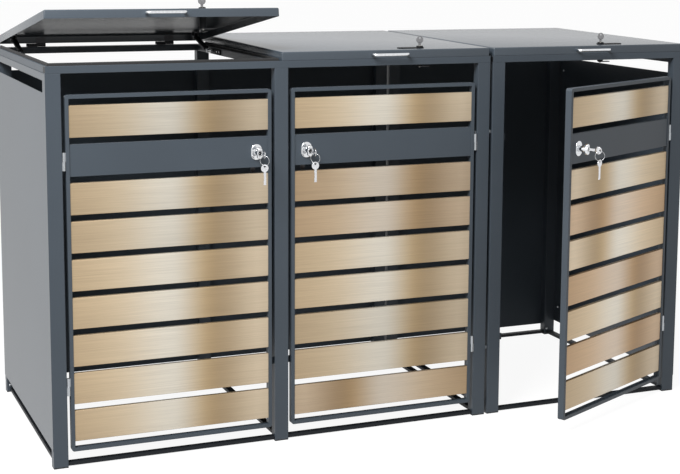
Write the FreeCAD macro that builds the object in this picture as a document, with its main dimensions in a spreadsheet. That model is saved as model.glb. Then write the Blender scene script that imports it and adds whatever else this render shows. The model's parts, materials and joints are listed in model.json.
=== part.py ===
"""Three-bay wheelie bin store: a two-bay steel frame with a one-bay frame beside it, and a lid and a door
to each bay. Lengths are millimetres and angles degrees. The store is drawn from its front left foot: X runs
to the right along the front, Y to the back and Z up, with lids and doors shut. Each sub-part is then placed,
with the first lid and the third door open and the origin on the ground in the middle of the bounding box."""
import FreeCAD, Part
import math
import os
from types import SimpleNamespace

import Sketcher
from FreeCAD import Placement, Rotation, Vector

SIZES = {
    # frame of tube
    "bay_clear": 600.0,
    "post_face": 40.0,
    "post_depth": 30.0,
    "tube_wall": 2.0,
    "module_gap": 10.0,
    "store_depth": 800.0,
    "frame_height": 1105.0,
    "rail_height": 20.0,
    "side_rail_width": 30.0,
    "foot_height": 3.0,
    "foot_spigot": 12.0,
    # flat bars near the ground
    "bar_width": 20.0,
    "bar_thickness": 10.0,
    "bar_lift": 4.0,
    "bar_setback": 5.0,
    # sheet walls
    "wall_sheet": 1.5,
    "side_wall_low": 51.0,
    "slot_height": 33.0,
    "slot_drop": 20.0,
    "slot_inset": 36.0,
    "rear_wall_low": 35.0,
    "rear_vent": 53.0,
    "wall_seam": 1.0,
    "rivet_lead": 25.0,
    "low_rivet": 56.0,
    "high_rivet": 98.0,
    # doors
    "door_gap": 10.0,
    "door_low": 44.0,
    "door_drop": 58.0,
    "door_corner": 8.0,
    "strip_gap": 18.0,
    "strip_sheet": 1.2,
    "strip_return": 12.0,
    "strip_recess": 2.0,
    # door hinges and stops
    "knuckle_radius": 4.5,
    "knuckle_length": 24.5,
    "knuckle_space": 0.3,
    "door_pin_radius": 2.5,
    "running_clearance": 0.05,
    "door_axis_depth": 2.0,
    "knuckle_web": 4.0,
    "low_hinge_rise": 159.0,
    "high_hinge_drop": 203.0,
    "stop_reach": 16.0,
    "stop_height": 20.0,
    "stop_thickness": 3.0,
    "stop_clearance": 0.3,
    "stop_offset": 23.0,
    # door locks
    "lock_inset": 45.0,
    "rosette_radius": 16.0,
    "rosette_height": 45.0,
    "rosette_thickness": 4.0,
    "grip_height": 32.0,
    "grip_width": 15.0,
    "grip_thickness": 11.0,
    "grip_reach": 31.0,
    "grip_hub": 9.0,
    "lock_radius": 9.5,
    "plug_radius": 6.0,
    "plug_proud": 1.0,
    "lock_clearance": 0.1,
    "nut_radius": 13.0,
    "nut_thickness": 5.0,
    "cam_clearance": 1.5,
    "cam_play": 0.3,
    "cam_thickness": 2.5,
    "cam_width": 14.0,
    "door_cam_length": 62.0,
    # keys
    "key_thickness": 2.0,
    "key_shank": 8.0,
    "shank_length": 14.0,
    "lid_shank": 6.0,
    "bow_radius": 11.0,
    "bow_hole": 3.2,
    "hole_inset": 5.6,
    "ring_radius": 14.0,
    "ring_wire": 0.8,
    "key_length": 36.0,
    # lids
    "lid_margin": 2.0,
    "lid_rim": 24.0,
    "lid_sheet": 1.2,
    "lid_corner": 4.0,
    "lid_rear_gap": 10.0,
    "lid_front_gap": 0.5,
    "seal_width": 6.0,
    "seal_height": 8.0,
    "seal_inset": 4.0,
    # lid hinges
    "barrel_radius": 4.7,
    "lid_pin_radius": 3.0,
    "barrel_length": 30.0,
    "leaf_height": 18.0,
    "leaf_depth": 20.0,
    "leaf_thickness": 2.0,
    "lid_hinge_inset": 90.0,
    # lid handles and locks
    "handle_span": 108.0,
    "handle_rod": 4.0,
    "handle_reach": 28.0,
    "handle_bend": 9.0,
    "plate_length": 80.0,
    "plate_depth": 24.0,
    "plate_thickness": 3.0,
    "plate_offset": 87.0,
    "lid_lock_offset": 30.0,
    "lid_lock_setback": 44.0,
    "lid_lock_reach": 52.0,
    "lid_lock_collar": 4.0,
    "collar_radius": 10.0,
    "lid_cam_length": 34.0,
    # lid stays: a gas cylinder hung from the lid and its rod on the frame
    "stay_radius": 8.0,
    "stay_bore": 4.6,
    "stay_rod": 4.0,
    "stay_neck": 22.0,
    "stay_end": 3.0,
    "rod_show": 16.4,
    "rod_room": 16.4,
    "stay_eye": 7.0,
    "stay_eye_width": 9.0,
    "stay_offset": 14.0,
    "stay_stud": 3.5,
    "stay_head_pin": 2.5,
    "foot_reach": 207.0,
    "foot_drop": 15.0,
    "head_reach": 62.0,
    "head_drop": 14.0,
    "lug_hole": 7.2,
    "lug_length": 26.0,
    "lug_height": 24.0,
    "lug_gap": 13.0,
    "base_length": 96.0,
    "base_height": 17.0,
    "base_thickness": 3.0,
    "base_lead": 12.0,
    # screws and bolts
    "screw_head": 4.0,
    "screw_dome": 2.0,
    "bolt_head": 6.5,
    "bolt_head_height": 4.0,
    "bolt_shank": 4.0,
    "bolt_inset": 209.0,
    # distance from the front of the frame back to the origin
    "origin_depth": 244.53,
}
STRIPS = 9
LOCK_STRIP = 2
BAYS = ("1", "2", "3")
DOOR_HINGE_SIDE = {"1": "left", "2": "right", "3": "right"}
LID_LOCK_SIDE = {"1": 1, "2": 1, "3": -1}
LID_ANGLE = {"1": 9.0, "2": 0.0, "3": 0.0}
DOOR_ANGLE = {"1": 0.0, "2": 0.0, "3": 27.0}

doc = FreeCAD.newDocument("bin_store")
sheet = doc.addObject("Spreadsheet::Sheet", "size")


class Size:
    """A length that knows its expression for the sheet's cells and its number."""

    def __init__(self, text, number):
        self.text = text
        self.number = number

    def join(self, sign, other, number):
        return Size("(%s %s %s)" % (self.text, sign, other.text), number)

    def __add__(self, other):
        other = as_size(other)
        return self.join("+", other, self.number + other.number)

    def __sub__(self, other):
        other = as_size(other)
        return self.join("-", other, self.number - other.number)

    def __mul__(self, other):
        other = as_size(other)
        return self.join("*", other, self.number * other.number)

    def __truediv__(self, other):
        other = as_size(other)
        return self.join("/", other, self.number / other.number)

    def __radd__(self, other):
        return as_size(other) + self

    def __rsub__(self, other):
        return as_size(other) - self

    def __rmul__(self, other):
        return as_size(other) * self

    def __neg__(self):
        return as_size(0) - self


def as_size(what):
    return what if isinstance(what, Size) else Size(repr(float(what)), float(what))


def fill_sheet():
    named = {}
    for row, (alias, number) in enumerate(SIZES.items(), start=1):
        sheet.set("A%d" % row, str(number))
        sheet.setAlias("A%d" % row, alias)
        named[alias] = Size("size." + alias, number)
    doc.recompute()
    return SimpleNamespace(**named)


s = fill_sheet()


def bind(shape, prop, length):
    shape.setExpression(prop, as_size(length).text)


def put(shape, at):
    for axis, length in zip("xyz", at):
        bind(shape, "Placement.Base." + axis, length)
    return shape


def box(name, at, size):
    shape = doc.addObject("Part::Box", name)
    for prop, length in zip(("Length", "Width", "Height"), size):
        bind(shape, prop, length)
    return put(shape, at)


TURNS = {
    "+x": Rotation(Vector(0, 1, 0), 90),
    "-x": Rotation(Vector(0, 1, 0), -90),
    "+y": Rotation(Vector(1, 0, 0), -90),
    "-y": Rotation(Vector(1, 0, 0), 90),
    "+z": Rotation(),
    "-z": Rotation(Vector(1, 0, 0), 180),
}


def cylinder(name, at, radius, length, way="+z"):
    shape = doc.addObject("Part::Cylinder", name)
    bind(shape, "Radius", radius)
    bind(shape, "Height", length)
    shape.Placement = Placement(Vector(), TURNS[way])
    return put(shape, at)


def cone(name, at, radius, end_radius, length, way="+z"):
    shape = doc.addObject("Part::Cone", name)
    bind(shape, "Radius1", radius)
    bind(shape, "Radius2", end_radius)
    bind(shape, "Height", length)
    shape.Placement = Placement(Vector(), TURNS[way])
    return put(shape, at)


def cut(name, base, *tools):
    for number, tool in enumerate(tools, start=1):
        shape = doc.addObject("Part::Cut", "%s_cut_%d" % (name, number))
        shape.Base = base
        shape.Tool = tool
        base = shape
    return base


def fuse(name, *shapes):
    joined = doc.addObject("Part::MultiFuse", name)
    joined.Shapes = list(shapes)
    joined.Refine = True
    return joined


def runs_along(edge, axis):
    ends = [vertex.Point for vertex in edge.Vertexes]
    return len(ends) == 2 and abs((ends[1] - ends[0]).normalize()[axis]) > 0.999


def tube(name, at, size, along):
    """A rectangular tube, open at both ends, that runs along one axis."""
    wall = [0 if axis == along else s.tube_wall for axis in range(3)]
    inner_at = [place + gap for place, gap in zip(at, wall)]
    inner_size = [length - 2 * gap for length, gap in zip(size, wall)]
    return cut(name, box(name, at, size), box(name + "_inside", inner_at, inner_size))


NODES = {}
TO_ORIGIN = Placement(Vector(-(1.5 * s.bay_clear + 2.5 * s.post_face + s.module_gap / 2).number,
                             -s.origin_depth.number, 0), Rotation())


def node(name, shapes, moved=None):
    """One sub-part: its solids together, placed as moved says and then shifted to the origin."""
    group = doc.addObject("Part::Compound", name)
    group.Links = list(shapes)
    group.Label = name
    group.Placement = TO_ORIGIN * moved if moved else TO_ORIGIN
    NODES[name] = group


# Places that several sub-parts share

pitch = s.bay_clear + s.post_face
single_left = 2 * pitch + s.post_face + s.module_gap
store_right = single_left + pitch + s.post_face
post_lefts = {"a": as_size(0), "b": pitch, "c": 2 * pitch, "d": single_left, "e": single_left + pitch}
rail_low = s.frame_height - s.rail_height
post_back = s.store_depth - s.post_depth
bay_left = {"1": s.post_face, "2": pitch + s.post_face, "3": single_left + s.post_face}
bay_right = {bay: left + s.bay_clear for bay, left in bay_left.items()}
lid_left = {"1": s.lid_margin, "2": pitch + s.post_face / 2 + s.lid_margin, "3": single_left + s.lid_margin}
lid_right = {"1": pitch + s.post_face / 2 - s.lid_margin, "2": 2 * pitch + s.post_face - s.lid_margin,
             "3": store_right - s.lid_margin}

# Inner faces of the top rails that run from front to back, left and right of each bay

rail_left = {"a": as_size(0), "b": pitch, "c": 2 * pitch + s.post_face - s.side_rail_width,
             "d": single_left, "e": store_right - s.side_rail_width}
rail_width = {post: s.post_face if post == "b" else s.side_rail_width for post in rail_left}
well_left = {"1": rail_left["a"] + rail_width["a"], "2": rail_left["b"] + rail_width["b"],
             "3": rail_left["d"] + rail_width["d"]}
well_right = {"1": rail_left["b"], "2": rail_left["c"], "3": rail_left["e"]}


# Frame

def posts(row, front):
    """Tubes that stand on their feet, the two that face each other drilled for the bolts between them."""
    drilled = []
    for post, left in post_lefts.items():
        name = "post_%s_%s" % (row, post)
        size = (s.post_face, s.post_depth, rail_low - s.foot_height)
        whole = tube(name, (left, front, s.foot_height), size, 2)
        if post in ("c", "d"):
            holes = [cylinder("%s_hole_%d" % (name, number), (left - 1, front + s.post_depth / 2, height),
                              s.bolt_shank, s.post_face + 2, "+x")
                     for number, height in enumerate((s.bolt_inset, rail_low - s.bolt_inset), start=1)]
            whole = cut(name + "_drilled", whole, *holes)
        drilled.append(whole)
    return drilled


def foot(name, left, front):
    """A moulded foot: a plate under the post and a spigot inside it."""
    plate = box(name + "_plate", (left, front, 0), (s.post_face, s.post_depth, s.foot_height))
    spigot = box(name + "_spigot", (left + s.tube_wall, front + s.tube_wall, s.foot_height),
                 (s.post_face - 2 * s.tube_wall, s.post_depth - 2 * s.tube_wall, s.foot_spigot))
    return fuse(name, plate, spigot)


def top_rails_width():
    module_widths = {"double": (as_size(0), 2 * pitch + s.post_face),
                     "single": (single_left, pitch + s.post_face)}
    return [tube("rail_%s_%s" % (module, row), (left, front, rail_low),
                 (width, s.post_depth, s.rail_height), 0)
            for module, (left, width) in module_widths.items()
            for row, front in (("front", as_size(0)), ("rear", post_back))]


def rail_plugs():
    """Moulded plugs, flush in the open ends of the rails that run along the front and the back."""
    wall = s.tube_wall
    size = (s.foot_spigot, s.post_depth - 2 * wall, s.rail_height - 2 * wall)
    ends = {"a": as_size(0), "c": 2 * pitch + s.post_face - s.foot_spigot, "d": single_left,
            "e": store_right - s.foot_spigot}
    return [box("rail_plug_%s_%s" % (row, post), (left, front + wall, rail_low + wall), size)
            for post, left in ends.items() for row, front in (("front", as_size(0)), ("rear", post_back))]


def top_rails_depth():
    return [tube("rail_depth_" + post, (left, s.post_depth, rail_low),
                 (rail_width[post], s.store_depth - 2 * s.post_depth, s.rail_height), 1)
            for post, left in rail_left.items()]


def bottom_bars_width():
    fronts = {"front": s.bar_setback, "rear": s.store_depth - s.bar_setback - s.bar_width}
    return [box("bar_%s_%s" % (row, bay), (bay_left[bay], front, s.bar_lift),
                (s.bay_clear, s.bar_width, s.bar_thickness))
            for row, front in fronts.items() for bay in BAYS]


def bottom_bars_depth():
    return [box("bar_depth_" + post, (left + (s.post_face - s.bar_width) / 2, s.post_depth, s.bar_lift),
                (s.bar_width, s.store_depth - 2 * s.post_depth, s.bar_thickness))
            for post, left in post_lefts.items()]


node("posts_front", posts("front", as_size(0)))
node("posts_rear", posts("rear", post_back))
node("feet_and_plugs", [foot("foot_%s_%s" % (row, post), left, front) for post, left in post_lefts.items()
                        for row, front in (("front", as_size(0)), ("rear", post_back))] + rail_plugs())
node("top_rails_width", top_rails_width())
node("top_rails_depth", top_rails_depth())
node("bottom_bars_width", bottom_bars_width())
node("bottom_bars_depth", bottom_bars_depth())


# Sheet walls

slot_high = rail_low - s.slot_drop


def side_wall(name, left):
    wall = box(name + "_sheet", (left, 0, s.side_wall_low),
               (s.wall_sheet, s.store_depth, rail_low - s.side_wall_low))
    slot = box(name + "_slot", (left - 1, s.slot_inset, slot_high - s.slot_height),
               (s.wall_sheet + 2, s.store_depth - 2 * s.slot_inset, s.slot_height))
    return cut(name, wall, slot)


def rear_walls():
    """A sheet behind each bay, from the middle of one post or the edge of the module to the next."""
    edges = {"1": (as_size(0), pitch + s.post_face / 2 - s.wall_seam / 2),
             "2": (pitch + s.post_face / 2 + s.wall_seam / 2, 2 * pitch + s.post_face),
             "3": (single_left, store_right)}
    height = rail_low - s.rear_vent - s.rear_wall_low
    return [box("rear_sheet_%s" % bay, (left, s.store_depth, s.rear_wall_low),
                (right - left, s.wall_sheet, height))
            for bay, (left, right) in edges.items()]


node("side_wall_left", [side_wall("left_wall", -s.wall_sheet)])
node("side_wall_right", [side_wall("right_wall", store_right)])
node("rear_walls", rear_walls())


def rear_screws():
    """Pan head screws that hold the rear sheets to the posts, four high at each edge of a sheet."""
    low, high = s.rear_wall_low, rail_low - s.rear_vent
    step = (high - low - 4 * s.post_depth / 2) / 3
    lines = {"a": post_lefts["a"] + s.post_face / 2, "b_left": post_lefts["b"] + s.post_face / 4,
             "b_right": post_lefts["b"] + 3 * s.post_face / 4, "c": post_lefts["c"] + s.post_face / 2,
             "d": post_lefts["d"] + s.post_face / 2, "e": post_lefts["e"] + s.post_face / 2}
    back = s.store_depth + s.wall_sheet
    return [cone("rear_screw_%s_%d" % (line, level), (across, back, low + s.post_depth + level * step),
                 s.screw_head, s.screw_head / 2, s.screw_dome, "+y")
            for line, across in lines.items() for level in range(4)]


def module_bolts():
    """Bolts that draw the two frames together through their facing posts, each with a spacer in the gap."""
    pieces = []
    left = post_lefts["c"]
    right = single_left + s.post_face
    for row, front in (("front", as_size(0)), ("rear", post_back)):
        depth = front + s.post_depth / 2
        for level, height in (("low", s.bolt_inset), ("high", rail_low - s.bolt_inset)):
            name = "module_bolt_%s_%s" % (row, level)
            head = cylinder(name + "_head", (left, depth, height), s.bolt_head, s.bolt_head_height, "-x")
            shank = cylinder(name + "_shank", (left, depth, height), s.bolt_shank, right - left, "+x")
            nut = cylinder(name + "_nut", (right, depth, height), s.bolt_head, s.bolt_head_height, "+x")
            ring = cylinder(name + "_ring", (left + s.post_face, depth, height), s.bolt_head,
                            s.module_gap, "+x")
            bore = cylinder(name + "_bore", (left, depth, height), s.bolt_shank, right - left, "+x")
            pieces += [fuse(name, head, shank, nut), cut(name + "_spacer", ring, bore)]
    return pieces


def wall_rivets():
    """Blind rivets whose ends show inside, on the side walls ahead of the rear posts and on these posts."""
    depth = post_back - s.rivet_lead
    low = s.foot_spigot + s.bar_width / 2
    spots = [("post_" + post, (left + s.post_face / 4, post_back, low), "-y")
             for post, left in post_lefts.items()]
    for level, height in (("low", s.side_wall_low + s.low_rivet), ("high", rail_low - s.high_rivet)):
        spots.append(("left_" + level, (0, depth, height), "+x"))
        spots.append(("right_" + level, (store_right, depth, height), "-x"))
    return [cone("rivet_" + name, spot, s.screw_head, s.screw_head / 2, s.screw_dome, way)
            for name, spot, way in spots]


node("wall_fixings", rear_screws() + wall_rivets())
node("module_bolts", module_bolts())


# Drawing helpers for pieces that are cut or bent from one profile

def plane_of(body, role):
    return next(plane for plane in body.Origin.OriginFeatures if plane.Role == role)


def sketch_on(body, name, role, lift=0):
    sketch = body.newObject("Sketcher::SketchObject", name)
    sketch.AttachmentSupport = (plane_of(body, role), [""])
    sketch.MapMode = "FlatFace"
    bind(sketch, "AttachmentOffset.Base.z", lift)
    return sketch


def draw_rectangle(sketch, left, low, width, height):
    first = sketch.GeometryCount
    corners = [(left, low), (left + width, low), (left + width, low + height), (left, low + height)]
    points = [Vector(as_size(across).number, as_size(up).number, 0) for across, up in corners]
    for start, end in zip(points, points[1:] + points[:1]):
        sketch.addGeometry(Part.LineSegment(start, end))
    for side in range(4):
        sketch.addConstraint(Sketcher.Constraint("Coincident", first + side, 2, first + (side + 1) % 4, 1))
    for side, kind in enumerate(("Horizontal", "Vertical", "Horizontal", "Vertical")):
        sketch.addConstraint(Sketcher.Constraint(kind, first + side))
    ties = (("DistanceX", (-1, 1, first, 1), left), ("DistanceY", (-1, 1, first, 1), low),
            ("DistanceX", (first, 1, first, 2), width), ("DistanceY", (first + 1, 1, first + 1, 2), height))
    for kind, ends, length in ties:
        length = as_size(length)
        number = sketch.addConstraint(Sketcher.Constraint(kind, *ends, length.number))
        sketch.setExpression("Constraints[%d]" % number, length.text)


def pad(body, name, sketch, length, reverse=False):
    padded = body.newObject("PartDesign::Pad", name)
    padded.Profile = sketch
    bind(padded, "Length", length)
    padded.Reversed = reverse
    doc.recompute()
    return padded


def round_off(body, name, base, radius, wanted):
    rounded = body.newObject("PartDesign::Fillet", name)
    rounded.Base = (base, ["Edge%d" % number for number, edge in enumerate(base.Shape.Edges, start=1)
                           if wanted(edge)])
    bind(rounded, "Radius", radius)
    doc.recompute()
    return rounded


def turned_about(axis, centre, angle):
    """A turn by angle about an axis through centre."""
    return Placement(Vector(), Rotation(axis, angle), centre)


# Lids. They are drawn level, with the rim's lower edge one rear gap above the frame, and then tip about the
# hinge axis until the front of the rim all but rests on the frame.

lid_back = s.store_depth - s.lid_margin
lid_depth = s.store_depth - 2 * s.lid_margin
rim_low = s.frame_height + s.lid_rear_gap
lid_top = rim_low + s.lid_rim
lid_under = lid_top - s.lid_sheet
lid_axis_y = lid_back - s.lid_sheet / 2
lid_axis_z = s.frame_height + s.lid_rear_gap / 2
lid_axis = Vector(0, lid_axis_y.number, lid_axis_z.number)
reach_front = (lid_axis_y - s.lid_margin).number
lid_settle = math.degrees(math.asin((s.lid_rear_gap - s.lid_front_gap).number / reach_front))
lid_pose = {bay: turned_about(Vector(1, 0, 0), lid_axis, lid_settle - LID_ANGLE[bay]) for bay in BAYS}


def lid_pan(bay):
    """A shallow tray of folded sheet, open below, with rounded edges and a hole for its lock."""
    name = "lid_pan_%s" % bay
    body = doc.addObject("PartDesign::Body", name + "_body")
    outline = sketch_on(body, name + "_outline", "XY_Plane", rim_low)
    draw_rectangle(outline, lid_left[bay], s.lid_margin, lid_right[bay] - lid_left[bay], lid_depth)
    block = pad(body, name + "_block", outline, s.lid_rim)
    top = lid_top.number
    block = round_off(body, name + "_edges", block, s.lid_corner,
                      lambda edge: runs_along(edge, 2) or edge.BoundBox.ZMin > top - 0.01)
    tray = body.newObject("PartDesign::Thickness", name + "_tray")
    low = rim_low.number
    opening = next(number for number, face in enumerate(block.Shape.Faces, start=1)
                   if face.BoundBox.ZMax < low + 0.01)
    tray.Base = (block, ["Face%d" % opening])
    bind(tray, "Value", s.lid_sheet)
    tray.Reversed = True
    body.Tip = tray
    doc.recompute()
    hole = cylinder(name + "_lock_hole", (lid_lock_x[bay], s.lid_lock_setback, lid_under - 1),
                    s.lock_radius, s.lid_sheet + 2)
    return cut(name, body, hole)


def lid_handle(bay):
    """A bow of round rod whose two ends meet the front of the rim."""
    name = "lid_handle_%s" % bay
    centre = (lid_left[bay] + lid_right[bay]) / 2
    height = rim_low + s.lid_rim / 2
    leg = s.handle_reach - s.handle_rod - s.handle_bend
    pieces = []
    for side, way in ((-1, "left"), (1, "right")):
        across = centre + side * s.handle_span / 2
        pieces.append(cylinder("%s_%s_leg" % (name, way), (across, s.lid_margin, height), s.handle_rod,
                               leg, "-y"))
        bend = doc.addObject("Part::Torus", "%s_%s_bend" % (name, way))
        bind(bend, "Radius1", s.handle_bend)
        bind(bend, "Radius2", s.handle_rod)
        bend.Angle3 = 90
        bend.Placement = Placement(Vector(), Rotation(Vector(0, 0, 1), 180 if side < 0 else 270))
        put(bend, (across - side * s.handle_bend, s.lid_margin - leg, height))
        pieces.append(bend)
    length = s.handle_span - 2 * s.handle_bend
    bar = cylinder(name + "_bar", (centre - length / 2, s.lid_margin - leg - s.handle_bend, height),
                   s.handle_rod, length, "+x")
    return fuse(name, bar, *pieces)


plate_middle = {bay: (lid_left[bay] + lid_right[bay]) / 2 + s.plate_offset for bay in BAYS}
lid_lock_x = {bay: plate_middle[bay] + LID_LOCK_SIDE[bay] * s.lid_lock_offset for bay in BAYS}
collar_top = lid_top + s.plate_thickness + s.lid_lock_collar
lid_barrel_low = lid_top - s.lid_lock_reach


def lid_lock(bay):
    """A plate on the lid, and through it a lock barrel with a collar on top and a nut below."""
    name = "lid_lock_%s" % bay
    across = lid_lock_x[bay]
    back = s.lid_lock_setback
    plate_left = plate_middle[bay] - s.plate_length / 2
    plate = box(name + "_plate", (plate_left, back - s.plate_depth / 2, lid_top),
                (s.plate_length, s.plate_depth, s.plate_thickness))
    hole = cylinder(name + "_plate_hole", (across, back, lid_top - 1), s.lock_radius, s.plate_thickness + 2)
    plate = cut(name + "_plate_holed", plate, hole)
    collar = cylinder(name + "_collar", (across, back, lid_top + s.plate_thickness), s.collar_radius,
                      s.lid_lock_collar)
    barrel = cylinder(name + "_barrel", (across, back, lid_barrel_low), s.lock_radius,
                      collar_top - lid_barrel_low)
    bore = cylinder(name + "_bore", (across, back, lid_barrel_low - 1), s.plug_radius + s.lock_clearance,
                    collar_top - lid_barrel_low + 2)
    barrel = cut(name + "_shell", fuse(name + "_outside", collar, barrel), bore)
    nut = doc.addObject("Part::Prism", name + "_nut_blank")
    nut.Polygon = 6
    bind(nut, "Circumradius", s.nut_radius)
    bind(nut, "Height", s.nut_thickness)
    nut_low = lid_under - s.nut_thickness
    put(nut, (across, back, nut_low))
    nut = cut(name + "_nut", nut, cylinder(name + "_nut_hole", (across, back, nut_low - 1), s.lock_radius,
                                           s.nut_thickness + 2))
    return [plate, barrel, nut]


def flat_key(name, shank, blade):
    """A key that stands on the origin with its bow up and its blade down, its faces square to X."""
    half = s.key_thickness / 2
    bow = cylinder(name + "_bow", (-half, 0, shank + s.bow_radius), s.bow_radius, s.key_thickness, "+x")
    stem = box(name + "_stem", (-half, -s.key_shank / 2, -blade),
               (s.key_thickness, s.key_shank, blade + shank + s.bow_radius / 2))
    hole = cylinder(name + "_hole", (-half - 1, 0, shank + 2 * s.bow_radius - s.hole_inset), s.bow_hole,
                    s.key_thickness + 2, "+x")
    return cut(name, fuse(name + "_blank", bow, stem), hole)


def cam_and_plug(name, plug_length, cam_length, *grip):
    """A lock's turning part: the plug with its keyway and any grip given, and the cam on its lower end that
    points along +X. The origin is in the middle of the plug's upper face."""
    plug = cylinder(name + "_plug", (0, 0, -plug_length), s.plug_radius, plug_length)
    keyway = box(name + "_keyway", (-s.key_shank / 2, -s.key_thickness / 2, -s.shank_length),
                 (s.key_shank, s.key_thickness, s.shank_length + 1))
    cam = box(name + "_cam", (0, -s.cam_width / 2, -plug_length),
              (cam_length - s.cam_width / 2, s.cam_width, s.cam_thickness))
    nose = cylinder(name + "_nose", (cam_length - s.cam_width / 2, 0, -plug_length), s.cam_width / 2,
                    s.cam_thickness)
    eye = cylinder(name + "_eye", (0, 0, -plug_length), s.cam_width / 2 + 1, s.cam_thickness)
    screw = cylinder(name + "_screw", (0, 0, -plug_length), s.screw_head, s.screw_dome, "-z")
    return cut(name, fuse(name + "_solid", plug, cam, nose, eye, screw, *grip), keyway)


def placed(name, shape, placement):
    group = doc.addObject("Part::Compound", name)
    group.Links = [shape]
    group.Placement = placement
    return group


def lid_key(bay):
    """The plug and cam of a lid's lock, and the key upright in it."""
    name = "lid_key_%s" % bay
    plug_top = collar_top + s.plug_proud
    plug_length = plug_top - lid_barrel_low + s.cam_play + s.cam_thickness
    spot = Vector(lid_lock_x[bay].number, s.lid_lock_setback.number, plug_top.number)
    turning = cam_and_plug(name + "_turning", plug_length, s.lid_cam_length)
    key = flat_key(name + "_flat", s.lid_shank, s.shank_length)
    return [placed(name + "_lower", turning, Placement(spot, Rotation())),
            placed(name + "_upper", key, Placement(spot, Rotation(Vector(0, 0, 1), 90)))]


# Lid hinges: on each a fixed half with the pin on the rear rail, and a half with a bore on the lid

def hinge_lefts(bay):
    return (lid_left[bay] + s.lid_hinge_inset, lid_right[bay] - s.lid_hinge_inset - 2 * s.barrel_length)


def lid_hinge_base(name, left):
    end = (left, lid_axis_y, lid_axis_z)
    barrel = cylinder(name + "_barrel", end, s.barrel_radius, s.barrel_length, "+x")
    leaf = box(name + "_leaf", (left, lid_axis_y - s.leaf_depth, s.frame_height),
               (s.barrel_length, s.leaf_depth, s.leaf_thickness))
    pin = cylinder(name + "_pin", end, s.lid_pin_radius, 2 * s.barrel_length, "+x")
    return fuse(name, barrel, leaf, pin)


def lid_hinge_leaf(name, left):
    start = left + s.barrel_length + s.knuckle_space
    length = s.barrel_length - s.knuckle_space
    barrel = cylinder(name + "_barrel", (start, lid_axis_y, lid_axis_z), s.barrel_radius, length, "+x")
    inner = lid_back - s.lid_sheet
    leaf = box(name + "_leaf", (start, inner - s.leaf_thickness, lid_axis_z),
               (length, s.leaf_thickness, s.lid_rear_gap / 2 + s.leaf_height))
    bore = cylinder(name + "_bore", (start - 1, lid_axis_y, lid_axis_z),
                    s.lid_pin_radius + s.running_clearance, length + 2, "+x")
    return cut(name, fuse(name + "_solid", barrel, leaf), bore)


# Lid stays. Each is a chain from the frame: the rod turns on a stud, the cylinder slides on the rod, and its
# cross pin has play in the holes of the lid's lug, because the two motions follow the lid at steady rates.

stay_lines = {bay: (well_left[bay] + s.stay_offset, well_right[bay] - s.stay_offset) for bay in BAYS}
foot_y = lid_axis_y - s.foot_reach
foot_z = lid_axis_z - s.foot_drop
head_y = lid_axis_y - s.head_reach
head_z = lid_under - s.head_drop
LID_TRAVEL = 50.0


def stay_at(opened):
    """Direction in degrees and length from foot stud to the middle of the lug's hole, at a lid's opening."""
    swing = Rotation(Vector(1, 0, 0), lid_settle - opened)
    head = swing * Vector(0, -s.head_reach.number, (head_z - lid_axis_z).number)
    arm = head + Vector(0, s.foot_reach.number, s.foot_drop.number)
    return math.degrees(math.atan2(arm.z, arm.y)), arm.Length


def steady_rate(values):
    """The straight line through evenly spaced values that halves the largest distance: start and rate."""
    steps = len(values) - 1
    slope = (values[-1] - values[0]) / steps
    off = [value - values[0] - slope * step for step, value in enumerate(values)]
    return values[0] + (max(off) + min(off)) / 2, slope * steps / LID_TRAVEL


stay_samples = [stay_at(LID_TRAVEL * step / 50) for step in range(51)]
stay_direction, direction_rate = steady_rate([sample[0] for sample in stay_samples])
stay_length, length_rate = steady_rate([sample[1] for sample in stay_samples])
stay_body = as_size(stay_length) - s.stay_neck - s.stay_eye - s.rod_show
stay_rod_length = as_size(stay_length) - s.stay_neck - s.stay_end - s.rod_room
print("stay: turns %.5f degree per degree, grows %.5f mm per degree" % (direction_rate, length_rate))
print("stay: direction %.4f, length %.4f with the lid shut" % (stay_direction, stay_length))


def stay_placement(bay, at_head=False):
    opened = LID_ANGLE[bay]
    turn = Rotation(Vector(1, 0, 0), stay_direction + direction_rate * opened)
    foot = Vector(0, foot_y.number, foot_z.number)
    if at_head:
        foot = foot + turn.multVec(Vector(0, stay_length + length_rate * opened, 0))
    return Placement(foot, turn)


def stay_rod(name, across):
    """The rod along +Y from its eye, which turns on the frame's stud."""
    eye_left = across - s.stay_eye_width / 2
    eye = cylinder(name + "_eye", (eye_left, 0, 0), s.stay_eye, s.stay_eye_width, "+x")
    rod = cylinder(name + "_rod", (across, 0, 0), s.stay_rod, stay_rod_length, "+y")
    bore = cylinder(name + "_bore", (eye_left - 1, 0, 0), s.stay_stud + s.running_clearance,
                    s.stay_eye_width + 2, "+x")
    return cut(name, fuse(name + "_solid", eye, rod), bore)


def stay_cylinder(name, across):
    """The gas cylinder back along -Y from its cross pin, with the bore that the rod slides in."""
    shell = cylinder(name + "_shell", (across, -s.stay_neck, 0), s.stay_radius, stay_body, "-y")
    neck = cylinder(name + "_neck", (across, 0, 0), s.stay_rod + 1, s.stay_neck + 1, "-y")
    eye = cylinder(name + "_eye", (across - s.stay_eye_width / 2, 0, 0), s.stay_eye, s.stay_eye_width, "+x")
    half_pin = s.lug_gap / 2 + 2 * s.leaf_thickness
    pin = cylinder(name + "_pin", (across - half_pin, 0, 0), s.stay_head_pin, 2 * half_pin, "+x")
    bore = cylinder(name + "_bore", (across, -s.stay_neck - stay_body - 1, 0), s.stay_bore,
                    stay_body - s.stay_end + 1, "+y")
    return cut(name, fuse(name + "_solid", shell, neck, eye, pin), bore)


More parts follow.
